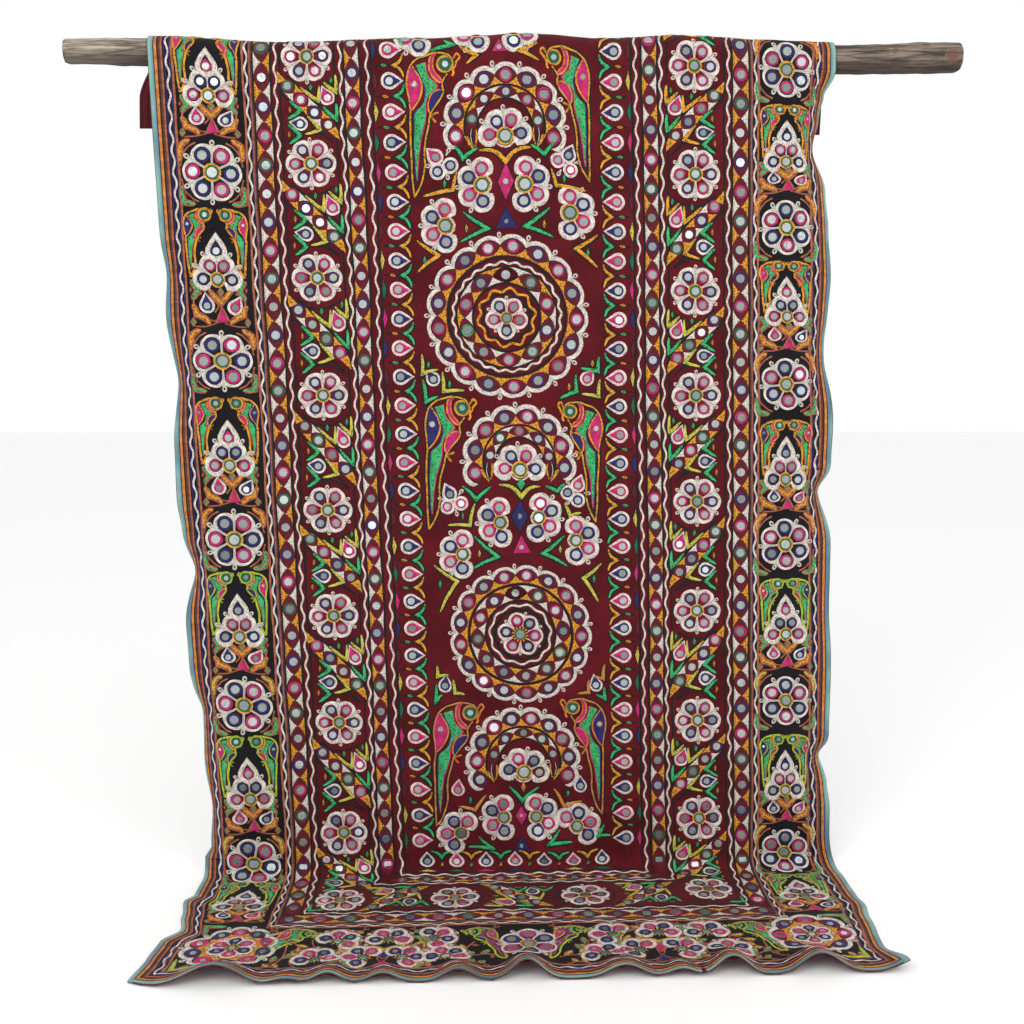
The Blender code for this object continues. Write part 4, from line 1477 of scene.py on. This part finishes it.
fieldLeaves = (
    (-0.080, 0.246, -0.098, 0.221, -0.052, 0.227, "green"),
    (0.080, 0.243, 0.100, 0.220, 0.054, 0.226, "green"),
    (-0.101, 0.304, -0.092, 0.270, -0.160, 0.316, "gold"),
    (0.101, 0.300, 0.092, 0.268, 0.160, 0.308, "gold"),
    (-0.034, 0.381, -0.083, 0.346, -0.090, 0.404, "green"),
    (0.040, 0.378, 0.088, 0.342, 0.094, 0.398, "green"),
    (-0.133, 0.428, -0.176, 0.400, -0.176, 0.462, "gold"),
    (0.138, 0.420, 0.180, 0.392, 0.180, 0.456, "gold"),
    (0.003, 0.256, -0.050, 0.232, 0.054, 0.231, "gold"),
    (0.016, 0.910, -0.030, 0.886, 0.055, 0.889, "lemon"),
    (0.001, 1.553, -0.026, 1.521, 0.036, 1.525, "green"),
    (-0.091, 0.967, -0.078, 0.922, -0.136, 0.966, "lemon"),
    (-0.035, 1.031, -0.083, 0.990, -0.086, 1.056, "green"),
    (-0.119, 1.083, -0.166, 1.048, -0.157, 1.148, "lemon"),
    (0.059, 1.027, 0.104, 0.991, 0.108, 1.054, "green"),
    (0.140, 1.078, 0.177, 1.047, 0.168, 1.128, "lemon"),
    (0.115, 0.951, 0.104, 0.924, 0.138, 0.944, "lemon"),
    (-0.075, 0.915, -0.103, 0.886, -0.046, 0.890, "green"),
    (0.090, 0.899, 0.065, 0.888, 0.106, 0.884, "green"),
    (-0.100, 1.570, -0.075, 1.538, -0.134, 1.562, "orange"),
    (0.089, 1.567, 0.068, 1.530, 0.128, 1.556, "orange"),
    (-0.132, 0.698, -0.133, 0.659, -0.091, 0.696, "lemon"),
    (0.133, 0.695, 0.132, 0.662, 0.097, 0.711, "green"),
    (0.177, 0.706, 0.181, 0.672, 0.142, 0.701, "lemon"),
    (-0.165, 1.2821, -0.1655, 1.26, -0.1417, 1.2788, "lemon"),
    (-0.1717, 1.3367, -0.1686, 1.2979, -0.1575, 1.3198, "green"),
    (-0.1311, 1.3166, -0.1339, 1.2891, -0.1104, 1.3205, "lemon"),
    (0.1756, 1.2899, 0.1796, 1.2591, 0.1552, 1.2848, "orange"),
    (0.1446, 1.3196, 0.1448, 1.292, 0.1212, 1.3224, "orange"),
    (0.1787, 1.3324, 0.1771, 1.3076, 0.1596, 1.3237, "green"),
    (-0.0642, 1.6556, -0.0948, 1.6289, -0.1165, 1.6517, "green"),
    (0.0547, 1.6475, 0.0802, 1.6167, 0.1053, 1.6428, "green"),
    (0.1572, 1.6334, 0.1737, 1.6080, 0.1873, 1.6326, "green"),
    (-0.172, 0.663, -0.173, 0.623, -0.141, 0.655, "lemon"),
    (-0.168, 0.719, -0.172, 0.674, -0.143, 0.708, "green"),
    (0.177, 0.656, 0.179, 0.627, 0.142, 0.650, "green"),
    (-0.092, 0.034, -0.135, 0.043, -0.109, 0.024, "green"),
    (-0.048, 0.055, -0.080, 0.038, -0.068, 0.071, "gold"),
    (0.031, 0.047, 0.070, 0.034, 0.072, 0.067, "gold"),
)
for u, s, uA, sA, uB, sB, thread in fieldLeaves:
    ends = [((uA - u) * 1000, (s - sA) * 1000), ((uB - u) * 1000, (s - sB) * 1000)]
    broad = abs(uA - uB) > 0.075 and abs(u) < 0.02
    veeLeaf(Spot(u, s), (0, 0), *ends, thread, 10.0 if broad else 8.6, bow=-0.16 if broad else -0.03)
for u, s, thread, turn in (
    (-0.1515, 0.6742, "navy", 35), (0.1544, 0.6705, "pink", -35), (-0.1504, 1.3012, "navy", -10),
    (0.1600, 1.3031, "navy", 10),
    (-0.1331, 1.5251, "pink", -8), (0.1241, 1.5233, "navy", 0),
):
    whiteDrop(Spot(u, s).at(turn=turn), thread, 10.0, 7.0, 4.0, 20.0)


# Parrot with its head at the middle and its beak towards x
parrotBack = [
    (15.6, 3.7), (6.7, 17), (-8, 21), (-23, 21.5), (-38, 16), (-54, 9.7), (-67.6, -5), (-74, -26),
    (-75, -47),
    (-71, -68), (-68, -90), (-69, -112), (-67.6, -142), (-66, -167), (-64, -210), (-60, -258),
]
parrotFront = [
    (5, -18.6), (-5, -36), (-3, -51), (-8, -65), (-18.6, -79.5), (-29, -96), (-33.4, -119.6), (-38, -142),
    (-40, -167), (-38.6, -196), (-46, -230.6), (-60, -258),
]
parrotBodyLeft = [
    (-57, -3.7), (-47, -26), (-39, -47), (-41, -67.6), (-48, -82.5), (-61, -96), (-61, -120), (-61, -142),
    (-60, -167), (-55, -225),
]
parrotBodyRight = [
    (-38, 3.7), (-32, -23), (-14, -42), (-33, -60), (-38, -75), (-38, -99), (-41, -120), (-47, -142),
    (-50, -167), (-54, -225),
]


parrotLook = {
    "outline": "gold", "body": "green", "chest": "pink", "back": "pink", "belly": "navy",
    "width": 5.0, "head": 1.0, "headTall": 1.0,
}


def parrot(place, **changes):
    look = dict(parrotLook, **changes)
    outline, body, chest, width = (look[part] for part in ("outline", "body", "chest", "width"))
    thin = width * 0.75
    fill(place, parrotBodyLeft, parrotBodyRight, body, 0.7, count=26)
    crescent = [(-23, 21.5), (-30, 9.7), (-30, -11), (-23, -24.5), (-14, -33), (-5, -36)]
    neck = [(-17, 20), (-23, 10), (-23, -8), (-18, -18), (-10, -26), (-4, -32)]
    fill(place, crescent, neck, chest, 0.7, count=10)
    backEdge = [(-64, -5), (-57, -15.6), (-48, -29), (-45, -47), (-50, -65), (-58.7, -79.5), (-67, -90)]
    fill(place, parrotBack[6:11], backEdge, look["back"], 0.75, count=12)
    bellyEdge = [(-2, -51), (-14, -50), (-26, -57), (-32, -70.6), (-32.7, -85), (-29, -96)]
    fill(place, bellyEdge, parrotFront[2:6], look["belly"], 0.75, count=12)
    if width > 4:
        inCrescent = [(-17, 21), (-23, 11), (-23, -7), (-18, -18), (-10, -26), (-5, -33)]
        line(place, curved(inCrescent, 3), 2.4, outline, 0.95)
    for path in (crescent, backEdge, bellyEdge):
        line(place, curved(path, 4), thin, outline, 1.0)
    for path in (parrotBack, parrotFront):
        line(place, curved(path, 4), width, outline, 1.0)
    line(place, curved(parrotBodyLeft, 3), thin * 0.8, "navy", 0.8)
    line(place, curved(parrotBodyRight, 3), thin * 0.8, chest if width > 4 else "rust", 0.8)
    face = place.at(size=look["head"], tall=look["headTall"])
    ring(face, 13.0, 17.0, outline, 1.05)
    eye(face, "darkGreen", 13.2, 6.5)
    mirror(place.at(-61, -38.6), 6.0)
    ring(place.at(-61, -38.6), 5.5, 8.0, outline, 1.1, 14)
    beak = [(14, 8), (22, 20), (28, 13), (22, 4), (20, -3), (16, -11), (17, -17), (14, -23)]
    line(place, curved(beak, 4), thin, outline, 0.9)
    for toe in ((-14, -93), (-19, -112)):
        line(place, [(-30, -99), toe], thin, outline, 0.9)


for u, s, flip, turn, size, colours in (
    (-0.108, 0.069, 1, -2.5, 0.975, {}), (0.101, 0.060, -1, 3.0, 0.905, {"belly": "pink"}),
    (-0.097, 0.7305, 1, -4.6, 0.965, {"back": "navy", "belly": "pink"}),
    (0.118, 0.736, -1, -1, 0.875, {"back": "pink"}),
    (-0.1015, 1.3605, 1, -5, 0.975, {"outline": "orange"}),
    (0.1105, 1.353, -1, 1, 0.90, {"outline": "orange", "back": "navy", "belly": "pink"}),
):
    place = Spot(u, s).at(flip=flip, turn=turn, size=size)
    line(place, curved(parrotBack, 4), 9.5, "black", 0.4)
    line(place, curved(parrotFront, 4), 9.5, "black", 0.4)
    parrot(place, **colours)
print("field stitched")

# Side borders: trees, flowers and pairs of parrots on black
treeLook = {
    "distance": 31, "hole": 13.4, "rim": 24.0, "rimAt": 30, "start": 15.5, "ring": 12.0, "glass": 8.2,
    "heart": ((12.2, 16.4, "gold"), (9.0, 12.8, "darkGreen")), "heartGlass": 9.6,
    "tips": False, "ground": "black",
}


def tree(place, top="navy", upper="pink", lower="navy"):
    flower(place, [(180, lower), (118, upper), (62, upper), (0, lower)], treeLook)
    line(place, [(-26, -15), (-20, -14), (-15, -8)], 4.0, "white", 0.8)
    line(place, [(26, -15), (20, -14), (15, -8)], 4.0, "white", 0.8)
    for side in (1, -1):
        edge = place.at(flip=side)
        outer = [(-7, 36), (-20, 46), (-23, 60), (-14, 77), (0, 96)]
        fill(edge, outer, [(-1, 38), (-9, 46), (-12.5, 58), (-8, 69), (0, 80)], "white", 0.85, count=12)
    fill(place, [(0, 38), (-12, 57), (0, 80)], [(0, 38), (12, 57), (0, 80)], "black", 0.4, count=9)
    eye(place.at(0, 58), top, 11.2, 8.0, 15.0)
    for x, y, turn in ((-43, 24, 62), (43, 24, -62), (-24, 47, 50), (24, 47, -50)):
        loopStitch(place.at(x, y, turn))


# Rust-outlined leaves, points and a pair of drops between a tree and the next flower
def tracery(place, wide, first="pink", second="navy"):
    whiteDrop(place.at(-25, -53, 4, wide), first, 10.2, 6.8, 4.6, 22.0)
    whiteDrop(place.at(31, -56, -30, wide), second, 10.2, 6.8, 4.6, 22.0)
    veeLeaf(place, (4, -46), (-19, -20), (25, -21), "gold", 7.5, "rust", 0.04)
    line(place, [(-11, -29), (4, -43), (17, -30)], 2.2, "rust", 1.1)
    diamond(place, 4, -25, 4.5, 7.0, "green", "rust", 3.0)
    triangle(place, 5, -86, 12.0, 29, "pink", "rust", 5.0)
    for side in (1, -1):
        half = place.at(flip=side)
        veeLeaf(half, (-42, -23), (-56, -2), (-55, -42), "green", 7.0, "rust")
        diamond(half, -56, -22, 3.5, 6, "rust", edgeWidth=2.2)
        veeLeaf(half, (-46, -72), (-56, -52), (-20, -90), "gold", 8.0, "rust", -0.1)
        diamond(half, -54, -87, 4, 6.5, "green", "rust", 3.0)
        tendril = [(-8, -84), (-28, -80), (-44, -66), (-52, -50), (-48, -36), (-34, -28)]
        line(half, curved(tendril), 3.0, "rust", 0.7)
        line(half, curved([(-30, -24), (-14, -40), (-2, -52), (-10, -66)]), 3.0, "rust", 0.7)
        line(half, curved([(-8, -88), (-30, -95), (-50, -96)]), 2.8, "rust", 0.7)


def parrotPair(place, outline, number, wide):
    for side, back, belly in ((1, "navy", "pink"), (-1, "pink", "navy")):
        half = place.at(flip=side)
        back, belly = (back, belly) if number % 2 else (belly, back)
        broad = wide > 1
        bird = half.at(-20, 127, 0, 0.55, tall=0.87) if broad else half.at(-15, 117, 0, 0.50, tall=0.84)
        parrot(bird, outline=outline, back=back, belly=belly, width=3.8, head=1.45, headTall=1.17)


# Green corner leaves and rust points that close in a border flower
def flowerCorners(place, gold):
    for side in (1, -1):
        for up in (1, -1):
            corner = place.at(flip=side, tall=up)
            if up < 0:
                veeLeaf(corner, (-60, 58), (-62, 26), (-36, 62), "green", 7.5, "rust", 0.05)
                diamond(corner, -55, 40, 3.5, 6, "rust", edgeWidth=2.4)
            else:
                veeLeaf(corner, (-59, 52), (-61, 22), (-40, 64), gold, 7.5, "rust", 0.05)
            line(corner, curved([(-62, 12), (-56, 34), (-44, 50), (-30, 58)]), 3.0, "rust", 0.7)


borderLook = {
    "distance": 34.0, "hole": 15.0, "rim": 24.4, "rimAt": 29.0, "ring": 13.4, "glass": 9.0, "start": 16.0,
    "heart": ((12.6, 16.6, "gold"), (9.2, 13.0, "darkGreen")), "heartGlass": 9.8,
    "tips": False, "ground": "black",
}
leftFlowersAt = [-0.093, 0.2714, 0.6366, 0.9929, 1.3395, 1.6833]
rightFlowersAt = [0.0715, 0.3747, 0.6818, 1.0087, 1.3414, 1.6761]
leftTreesAt = [0.1252, 0.4756, 0.8456, 1.1946, 1.539, 1.8464]
rightTreesAt = [-0.055, 0.2481, 0.5465, 0.8765, 1.198, 1.5359, 1.8431]
for name, u, wide, start, flowersAt, treesAt in (
    ("left border", -0.5645, 1.05, 112, leftFlowersAt, leftTreesAt),
    ("right border", 0.557, 0.96, 88, rightFlowersAt, rightTreesAt),
):
    panel = name
    for n, s in enumerate(flowersAt):
        size = wide * (1.03 if s > 0 else 0.92)
        petals = sixPetals("navy", "pink", start + 8 * math.sin(7 * n))
        flower(Spot(u, s).at(size=size), petals, borderLook)
        flowerCorners(Spot(u, s).at(size=0.97), "gold" if s < 1.1 else "lemon")
    for n, s in enumerate(treesAt):
        place = Spot(u, s)
        below = min([f - s for f in flowersAt if f > s] + [0.165 if s < 1.7 else 0.135])
        above = min([s - f for f in flowersAt if f < s] + [0.200 if s > 0 else 0.150])
        main, other = ("pink", "navy") if n % 2 == 0 else ("navy", "pink")
        tree(place.at(size=0.87 * wide, tall=above / 0.205 * 1.12 / wide), main, other, main)
        tracery(place.at(tall=(below - 0.062) / 0.099, size=0.97), wide, main, other)
        outline = "gold" if s < 1.15 else "lime"
        parrotPair(place.at(tall=above / 0.205), outline, n, wide)
print("side borders stitched")

# Front border: corner rounds, a middle flower, four parrots and small flowers, all on black
panel = "front border"
smallLook = {
    "distance": 23.5, "hole": 11.2, "rim": 18.8, "rimAt": 22.5, "start": 12.5, "ring": 11.0, "glass": 5.0,
    "heart": ((6.4, 10.0, "darkGreen"),), "heartGlass": 6.6, "loops": 0.8, "tips": False,
}


def cornerRound(place, count):
    pitch = 2 * math.pi * 58 / count
    row = RoundRow(place, 58, 90)
    ring(place, 38, 49, "gold", 0.5, 32)
    scallopRow(row, count, pitch, 14.0, 9.0, 23.0, 13.8, 6.6, ("pink", "navy"), True, 1.0)
    ringLine(place, 42.5, 2.6, "rust", 0.9)
    inside = dict(smallLook, distance=25, hole=10.8, rim=16.0, rimAt=24, start=13.0, ring=10.4, glass=5.4)
    flower(place, sixPetals("navy", "pink"), inside)
    spikes(place, 8.0, 15.0, 12)


def smallFlower(u, s, turn=90, size=1.1):
    place = Spot(u, s).at(size=size)
    petals = [(turn + 62 * (n - 1.5), ("pink", "navy")[n % 2]) for n in range(4)]
    flower(place, petals, smallLook)
    spikes(place, 9.0, 16.0, 10)


cornerRound(Spot(-0.546, 2.014), 10)
cornerRound(Spot(0.532, 2.006), 8)
flower(Spot(-0.002, 2.020).at(size=1.06), sixPetals("pink", "navy", 90), dict(borderLook, ground="navy"))
frontSmall = (
    (-0.358, 1.996, 60), (-0.391, 2.066, 90), (-0.262, 1.992, 90), (-0.304, 2.060, 150),
    (-0.232, 2.060, 30),
    (-0.178, 1.990, 20), (-0.153, 2.064, 80), (0.156, 1.988, 150), (0.136, 2.066, 100), (0.245, 1.984, 90),
    (0.202, 2.052, 150), (0.280, 2.050, 30), (0.338, 1.986, 90), (0.369, 2.060, 60),
)
for u, s, turn in frontSmall:
    smallFlower(u, s, turn)
for u, s, tailU, tailS, flip in (
    (-0.412, 1.966, -0.500, 2.078, 1), (-0.110, 1.970, -0.050, 2.086, -1),
    (0.098, 1.970, 0.040, 2.086, 1), (0.402, 1.965, 0.464, 2.076, -1),
):
    away = math.degrees(math.atan2(abs(tailU - u), tailS - s)) - 13.0
    size = math.hypot(tailU - u, tailS - s) / 0.265
    place = Spot(u, s).at(turn=-away * flip, flip=flip, size=size * 1.25, tall=0.8)
    line(place, curved(parrotBack, 3), 6.5, "rust", 0.4)
    parrot(place, outline="lime", body="purple" if abs(u) < 0.2 else "green", chest="green", width=4.0)
for u, s, thread, other in ((-0.267, 2.056, "navy", "pink"), (0.242, 2.046, "pink", "navy")):
    diamond(Spot(u, s), 0, 0, 10, 15, thread, "rust", 2.6)
    triangle(Spot(u, s + 0.050), 0, 0, 13, 22, other, "rust", 4.0)
    veeLeaf(Spot(u, s), (0, 22), (-34, 34), (34, 34), "lemon", 7.0, "rust", -0.12)
    for side in (1, -1):
        half = Spot(u, s).at(flip=side)
        line(half, curved([(-62, 62), (-72, 40), (-70, 10), (-60, -22), (-34, -40)]), 4.0, "lemon", 0.8)
        line(half, curved([(-66, 66), (-77, 40), (-75, 8), (-64, -27), (-34, -46)]), 3.2, "rust", 0.7)
        veeLeaf(half, (-70, 66), (-44, 74), (-84, 44), "green", 7.0, "rust")
        leaf(half, (-76, -30), (-56, -50), "green", 7.0, "rust")


# Sprig of leaves with a curved rust stem
def sprig(place, thread):
    line(place, curved([(-24, -8), (-10, 0), (6, 2), (24, -6)]), 3.2, "rust", 0.7)
    leaf(place, (-18, -2), (-8, 13), thread, 7.0, "rust")
    leaf(place, (0, 2), (14, 13), thread, 7.0, "rust")
    diamond(place, 14, -8, 3.5, 5.5, "rust", edgeWidth=2.0)


for n, u in enumerate((-0.590, -0.470, -0.345, -0.195, -0.095, 0.085, 0.180, 0.310, 0.425, 0.590)):
    sprig(Spot(u, 2.094).at(flip=(-1) ** n, size=0.9), ("green", "lemon", "green", "gold")[n % 4])
for n, u in enumerate((-0.500, -0.465, -0.325, -0.205, -0.075, 0.060, 0.195, 0.300, 0.455, 0.490)):
    sprig(Spot(u, 1.956).at(flip=(-1) ** n, tall=-1, size=0.9), ("green", "lemon", "gold", "green")[n % 4])
for u, s, turn in (
    (-0.425, 2.035, 60), (-0.210, 2.028, 100), (0.105, 2.040, 90), (0.170, 2.020, 70), (0.305, 2.015, 90),
    (0.420, 2.040, 120),
):
    sprig(Spot(u, s).at(turn=turn, size=0.85), "green" if s < 2.03 else "lemon")
for u, s, turn, thread in (
    (-0.4480, 2.062, 20, "green"), (-0.4350, 2.010, -60, "lemon"), (-0.0900, 2.060, 10, "green"),
    (-0.1150, 2.040, 80, "lemon"),
    (0.0850, 2.070, -10, "lemon"), (0.1050, 2.025, 60, "green"), (0.2000, 2.012, 0, "lemon"),
    (0.4300, 2.072, 15, "green"),
    (0.4000, 2.020, -50, "lemon"), (-0.3300, 2.030, 30, "lemon"), (0.3100, 2.025, -20, "green"),
    (-0.2150, 2.020, 0, "lemon"),
):
    sprig(Spot(u, s).at(turn=turn, size=1.35), thread)
for u, s, turn in frontSmall:
    ringLine(Spot(u, s), 46, 2.6, "rust", 0.3)
for u, flip in ((-0.606, 1), (0.594, -1)):
    veeLeaf(Spot(u, 2.090).at(flip=flip), (-12, -8), (-14, 34), (34, -10), "lime", 10.0)
    veeLeaf(Spot(u, 1.940).at(flip=flip), (-10, 8), (-12, -26), (30, 10), "green", 8.0, "rust")
    for place, stem in (
        (Spot(u, 2.030), [(-24, -70), (-30, -40), (-30, 30), (-20, 74)]),
        (Spot(u + 0.145 * flip, 2.030), [(-20, -66), (6, -40), (10, 20), (-8, 66)]),
    ):
        line(place.at(flip=flip), curved(stem), 3.4, "rust", 0.7)
print("front border stitched")


# Slow drift of the hand, the same for everything stitched
def handDrift(places):
    u, s = places[..., 0], places[..., 1]
    across = 0.0009 * np.sin(13 * u + 9 * s + 1) + 0.0007 * np.sin(31 * s - 17 * u)
    across = across + 0.0003 * np.sin(160 * u + 95 * s)
    along = 0.0009 * np.sin(11 * s - 12 * u + 2) + 0.0007 * np.sin(33 * u + 14 * s)
    along = along + 0.0003 * np.sin(150 * s - 83 * u)
    room = np.clip((np.minimum(u - leftEdge, rightEdge - u) - 0.012) / 0.03, 0, 1)
    return np.stack([u + across * room, s + along * np.clip((hem - 0.012 - s) / 0.03, 0, 1)], -1)


def sewStrips(place, thread, strips):
    points, heights, uvs, faces = [], [], [], []
    count = 0
    for grid, height, uv in strips:
        rows, columns = height.shape
        index = count + np.arange(rows * columns).reshape(rows, columns)
        quads = np.stack([index[:-1, :-1], index[1:, :-1], index[1:, 1:], index[:-1, 1:]], -1)
        faces.append(quads.reshape(-1, 4))
        points.append(grid.reshape(-1, 2))
        heights.append(height.ravel())
        uvs.append(uv.reshape(-1, 2))
        count += rows * columns
    places = handDrift(np.concatenate(points))
    raised = faceTop + np.concatenate(heights) * mm
    sewn = placeOnCloth(places[:, 0], places[:, 1], raised)
    name = place.replace(" ", "_") + "_" + thread + "_stitches"
    return meshPiece(name, sewn, np.concatenate(faces), np.concatenate(uvs), threadLook[thread])


# Small mirrors: corners, how far they tilt, and their height over the cloth's face and rim depth
mirrorSizes = {"sides": 10, "tilt": 0.022, "mostTilt": 0.05, "height": 0.0009, "depth": 0.0006, "top": 0.93}
mirrorColours = {
    "dull": (112, 120, 116), "clear": (186, 192, 190), "tarnish": (88, 84, 80), "bright": (224, 232, 232),
}


def mirrorMaterial():
    material, tree, shader = newMaterial("small mirror glass", 0.16)
    info = addNode(tree, "ShaderNodeNewGeometry")
    chance = info.outputs["Random Per Island"]
    tarnish = mottle(tree, clothPlace(tree), 120.0, 3.0)
    dull = blend(tree, chance, dyed(*mirrorColours["dull"]), dyed(*mirrorColours["clear"]))
    spotted = ramp(tree, tarnish, 0.45, 0.75, 0.0, 0.3)
    colour = blend(tree, spotted, dull, dyed(*mirrorColours["tarnish"]))
    bright = blend(tree, ramp(tree, chance, 0.93, 0.95), colour, dyed(*mirrorColours["bright"]))
    tree.links.new(bright, shader.inputs["Base Color"])
    tree.links.new(ramp(tree, tarnish, 0.3, 0.8, 0.26, 0.5), shader.inputs["Roughness"])
    shader.inputs["Metallic"].default_value = 0.7
    return material


mirrorLook = mirrorMaterial()


def setMirrors(place, discs):
    rng = np.random.default_rng(len(discs))
    discs = np.array(discs)
    centres = handDrift(discs[:, :2])
    u, s, radius = centres[:, 0], centres[:, 1], discs[:, 2]
    step = 0.004
    face = np.full(u.shape, faceTop)
    middle = placeOnCloth(u, s, face + mirrorSizes["height"])
    across = placeOnCloth(u + step, s, face) - placeOnCloth(u - step, s, face)
    along = placeOnCloth(u, s - step, face) - placeOnCloth(u, s + step, face)
    across /= np.linalg.norm(across, axis=1, keepdims=True)
    normal = np.cross(across, along)
    normal /= np.linalg.norm(normal, axis=1, keepdims=True)
    along = np.cross(normal, across)
    tilt = rng.normal(0, mirrorSizes["tilt"], (len(discs), 2))
    tilt = np.clip(tilt, -mirrorSizes["mostTilt"], mirrorSizes["mostTilt"])
    sides = mirrorSizes["sides"]
    angles = np.arange(sides) * 2 * math.pi / sides
    across, along = across + normal * tilt[:, :1], along + normal * tilt[:, 1:]
    circle = np.stack([np.cos(angles), np.sin(angles)], -1)
    rim = across[:, None] * circle[None, :, :1] + along[:, None] * circle[None, :, 1:]
    top = middle[:, None] + rim * (radius * mirrorSizes["top"])[:, None, None]
    low = middle[:, None] + rim * radius[:, None, None] - normal[:, None] * mirrorSizes["depth"]
    points = np.concatenate([middle[:, None], top, low], axis=1)
    each = 1 + 2 * sides
    n = np.arange(sides)
    after = (n + 1) % sides
    fans = np.stack([np.zeros_like(n), 1 + n, 1 + after], -1)
    slantA = np.stack([1 + n, 1 + sides + n, 1 + sides + after], -1)
    slantB = np.stack([1 + n, 1 + sides + after, 1 + after], -1)
    base = np.concatenate([fans, slantA, slantB])
    faces = (base[None] + each * np.arange(len(discs))[:, None, None]).reshape(-1, 3)
    pattern = np.concatenate([np.zeros((1, 2)), circle, circle])
    uvs = (centres[:, None] + pattern[None] * radius[:, None, None]).reshape(-1, 2)
    name = place.replace(" ", "_") + "_mirrors"
    return meshPiece(name, points.reshape(-1, 3), faces, uvs, mirrorLook, smooth=False)


def trianglesOf(piece):
    return sum(len(face.vertices) - 2 for face in piece.data.polygons)


for (place, thread), strips in stitched.items():
    sewStrips(place, thread, strips)
for place in dict.fromkeys(item[0] for item in mirrors):
    setMirrors(place, [item[1:] for item in mirrors if item[0] == place and item[3] > 0.001])
triangles = [trianglesOf(piece) for piece in scenePieces]
print("stitches sewn on, triangles in all", sum(triangles), "most in a piece", max(triangles))
print("mirrors set", len(mirrors))

# Camera, light and floor


# Camera turned in radians, and lights with their places, aims, sizes, powers and colours
cameraLook = {
    "lens": 43.0, "place": (-0.1258, -2.4801, -0.5725), "pitch": 0.1315, "yaw": 0.0461, "roll": 0.0024,
}
lightLook = (
    ("front light", (-1.6, -3.4, 1.6), (0.0, 0.0, -0.8), 2.2, 60.0, (1.0, 0.99, 0.97)),
    ("right light", (2.6, -2.6, 0.6), (0.0, 0.0, -0.9), 2.0, 24.0, (0.97, 0.98, 1.0)),
)
floorLook = {"colour": (0.93, 0.93, 0.93, 1.0), "reach": 14.0, "gap": 0.0004}


# World matrix from the directions of right, up and back, and a place
def worldMatrix(right, up, back, place):
    turned = np.eye(4)
    turned[:3, 0], turned[:3, 1], turned[:3, 2], turned[:3, 3] = right, up, back, place
    return Matrix(turned.tolist())


def placeCamera():
    lens = bpy.data.cameras.new("camera")
    lens.sensor_width = 36.0
    lens.lens = cameraLook["lens"]
    camera = bpy.data.objects.new("camera", lens)
    bpy.context.scene.collection.objects.link(camera)
    pitch, yaw, roll = (cameraLook[name] for name in ("pitch", "yaw", "roll"))
    ahead = np.array([math.sin(yaw) * math.cos(pitch), math.cos(yaw) * math.cos(pitch), -math.sin(pitch)])
    right = np.array([math.cos(yaw), -math.sin(yaw), 0.0])
    up = np.cross(right, ahead)
    rightTurned = math.cos(roll) * right + math.sin(roll) * up
    upTurned = -math.sin(roll) * right + math.cos(roll) * up
    camera.matrix_world = worldMatrix(rightTurned, upTurned, -ahead, cameraLook["place"])
    bpy.context.scene.camera = camera


def areaLight(name, place, target, size, power, colour):
    light = bpy.data.lights.new(name, "AREA")
    light.shape = "DISK"
    light.size = size
    light.energy = power
    light.color = colour
    lamp = bpy.data.objects.new(name, light)
    bpy.context.scene.collection.objects.link(lamp)
    away = np.array(place) - np.array(target)
    back = away / np.linalg.norm(away)
    side = np.cross((0.0, 0.0, 1.0), back)
    side = side / np.linalg.norm(side)
    lamp.matrix_world = worldMatrix(side, np.cross(back, side), back, place)


def stageFloor():
    material, tree, shader = newMaterial("pale floor", 0.9)
    shader.inputs["Base Color"].default_value = floorLook["colour"]
    mesh = bpy.data.meshes.new("floor")
    reach, level = floorLook["reach"], -floorDrop - floorLook["gap"]
    corners = [(x * reach, y * reach, level) for x, y in ((-1, -1), (1, -1), (1, 1), (-1, 1))]
    mesh.from_pydata(corners, [], [(0, 1, 2, 3)])
    floor = bpy.data.objects.new("floor", mesh)
    bpy.context.scene.collection.objects.link(floor)
    floor.data.materials.append(material)


def paleWorld():
    world = bpy.data.worlds.new("pale room")
    world.use_nodes = True
    world.node_tree.nodes["Background"].inputs[0].default_value = (1.0, 1.0, 1.0, 1.0)
    world.node_tree.nodes["Background"].inputs[1].default_value = 1.0
    bpy.context.scene.world = world


placeCamera()
for light in lightLook:
    areaLight(*light)
stageFloor()
paleWorld()
bpy.context.scene.view_settings.view_transform = "Standard"

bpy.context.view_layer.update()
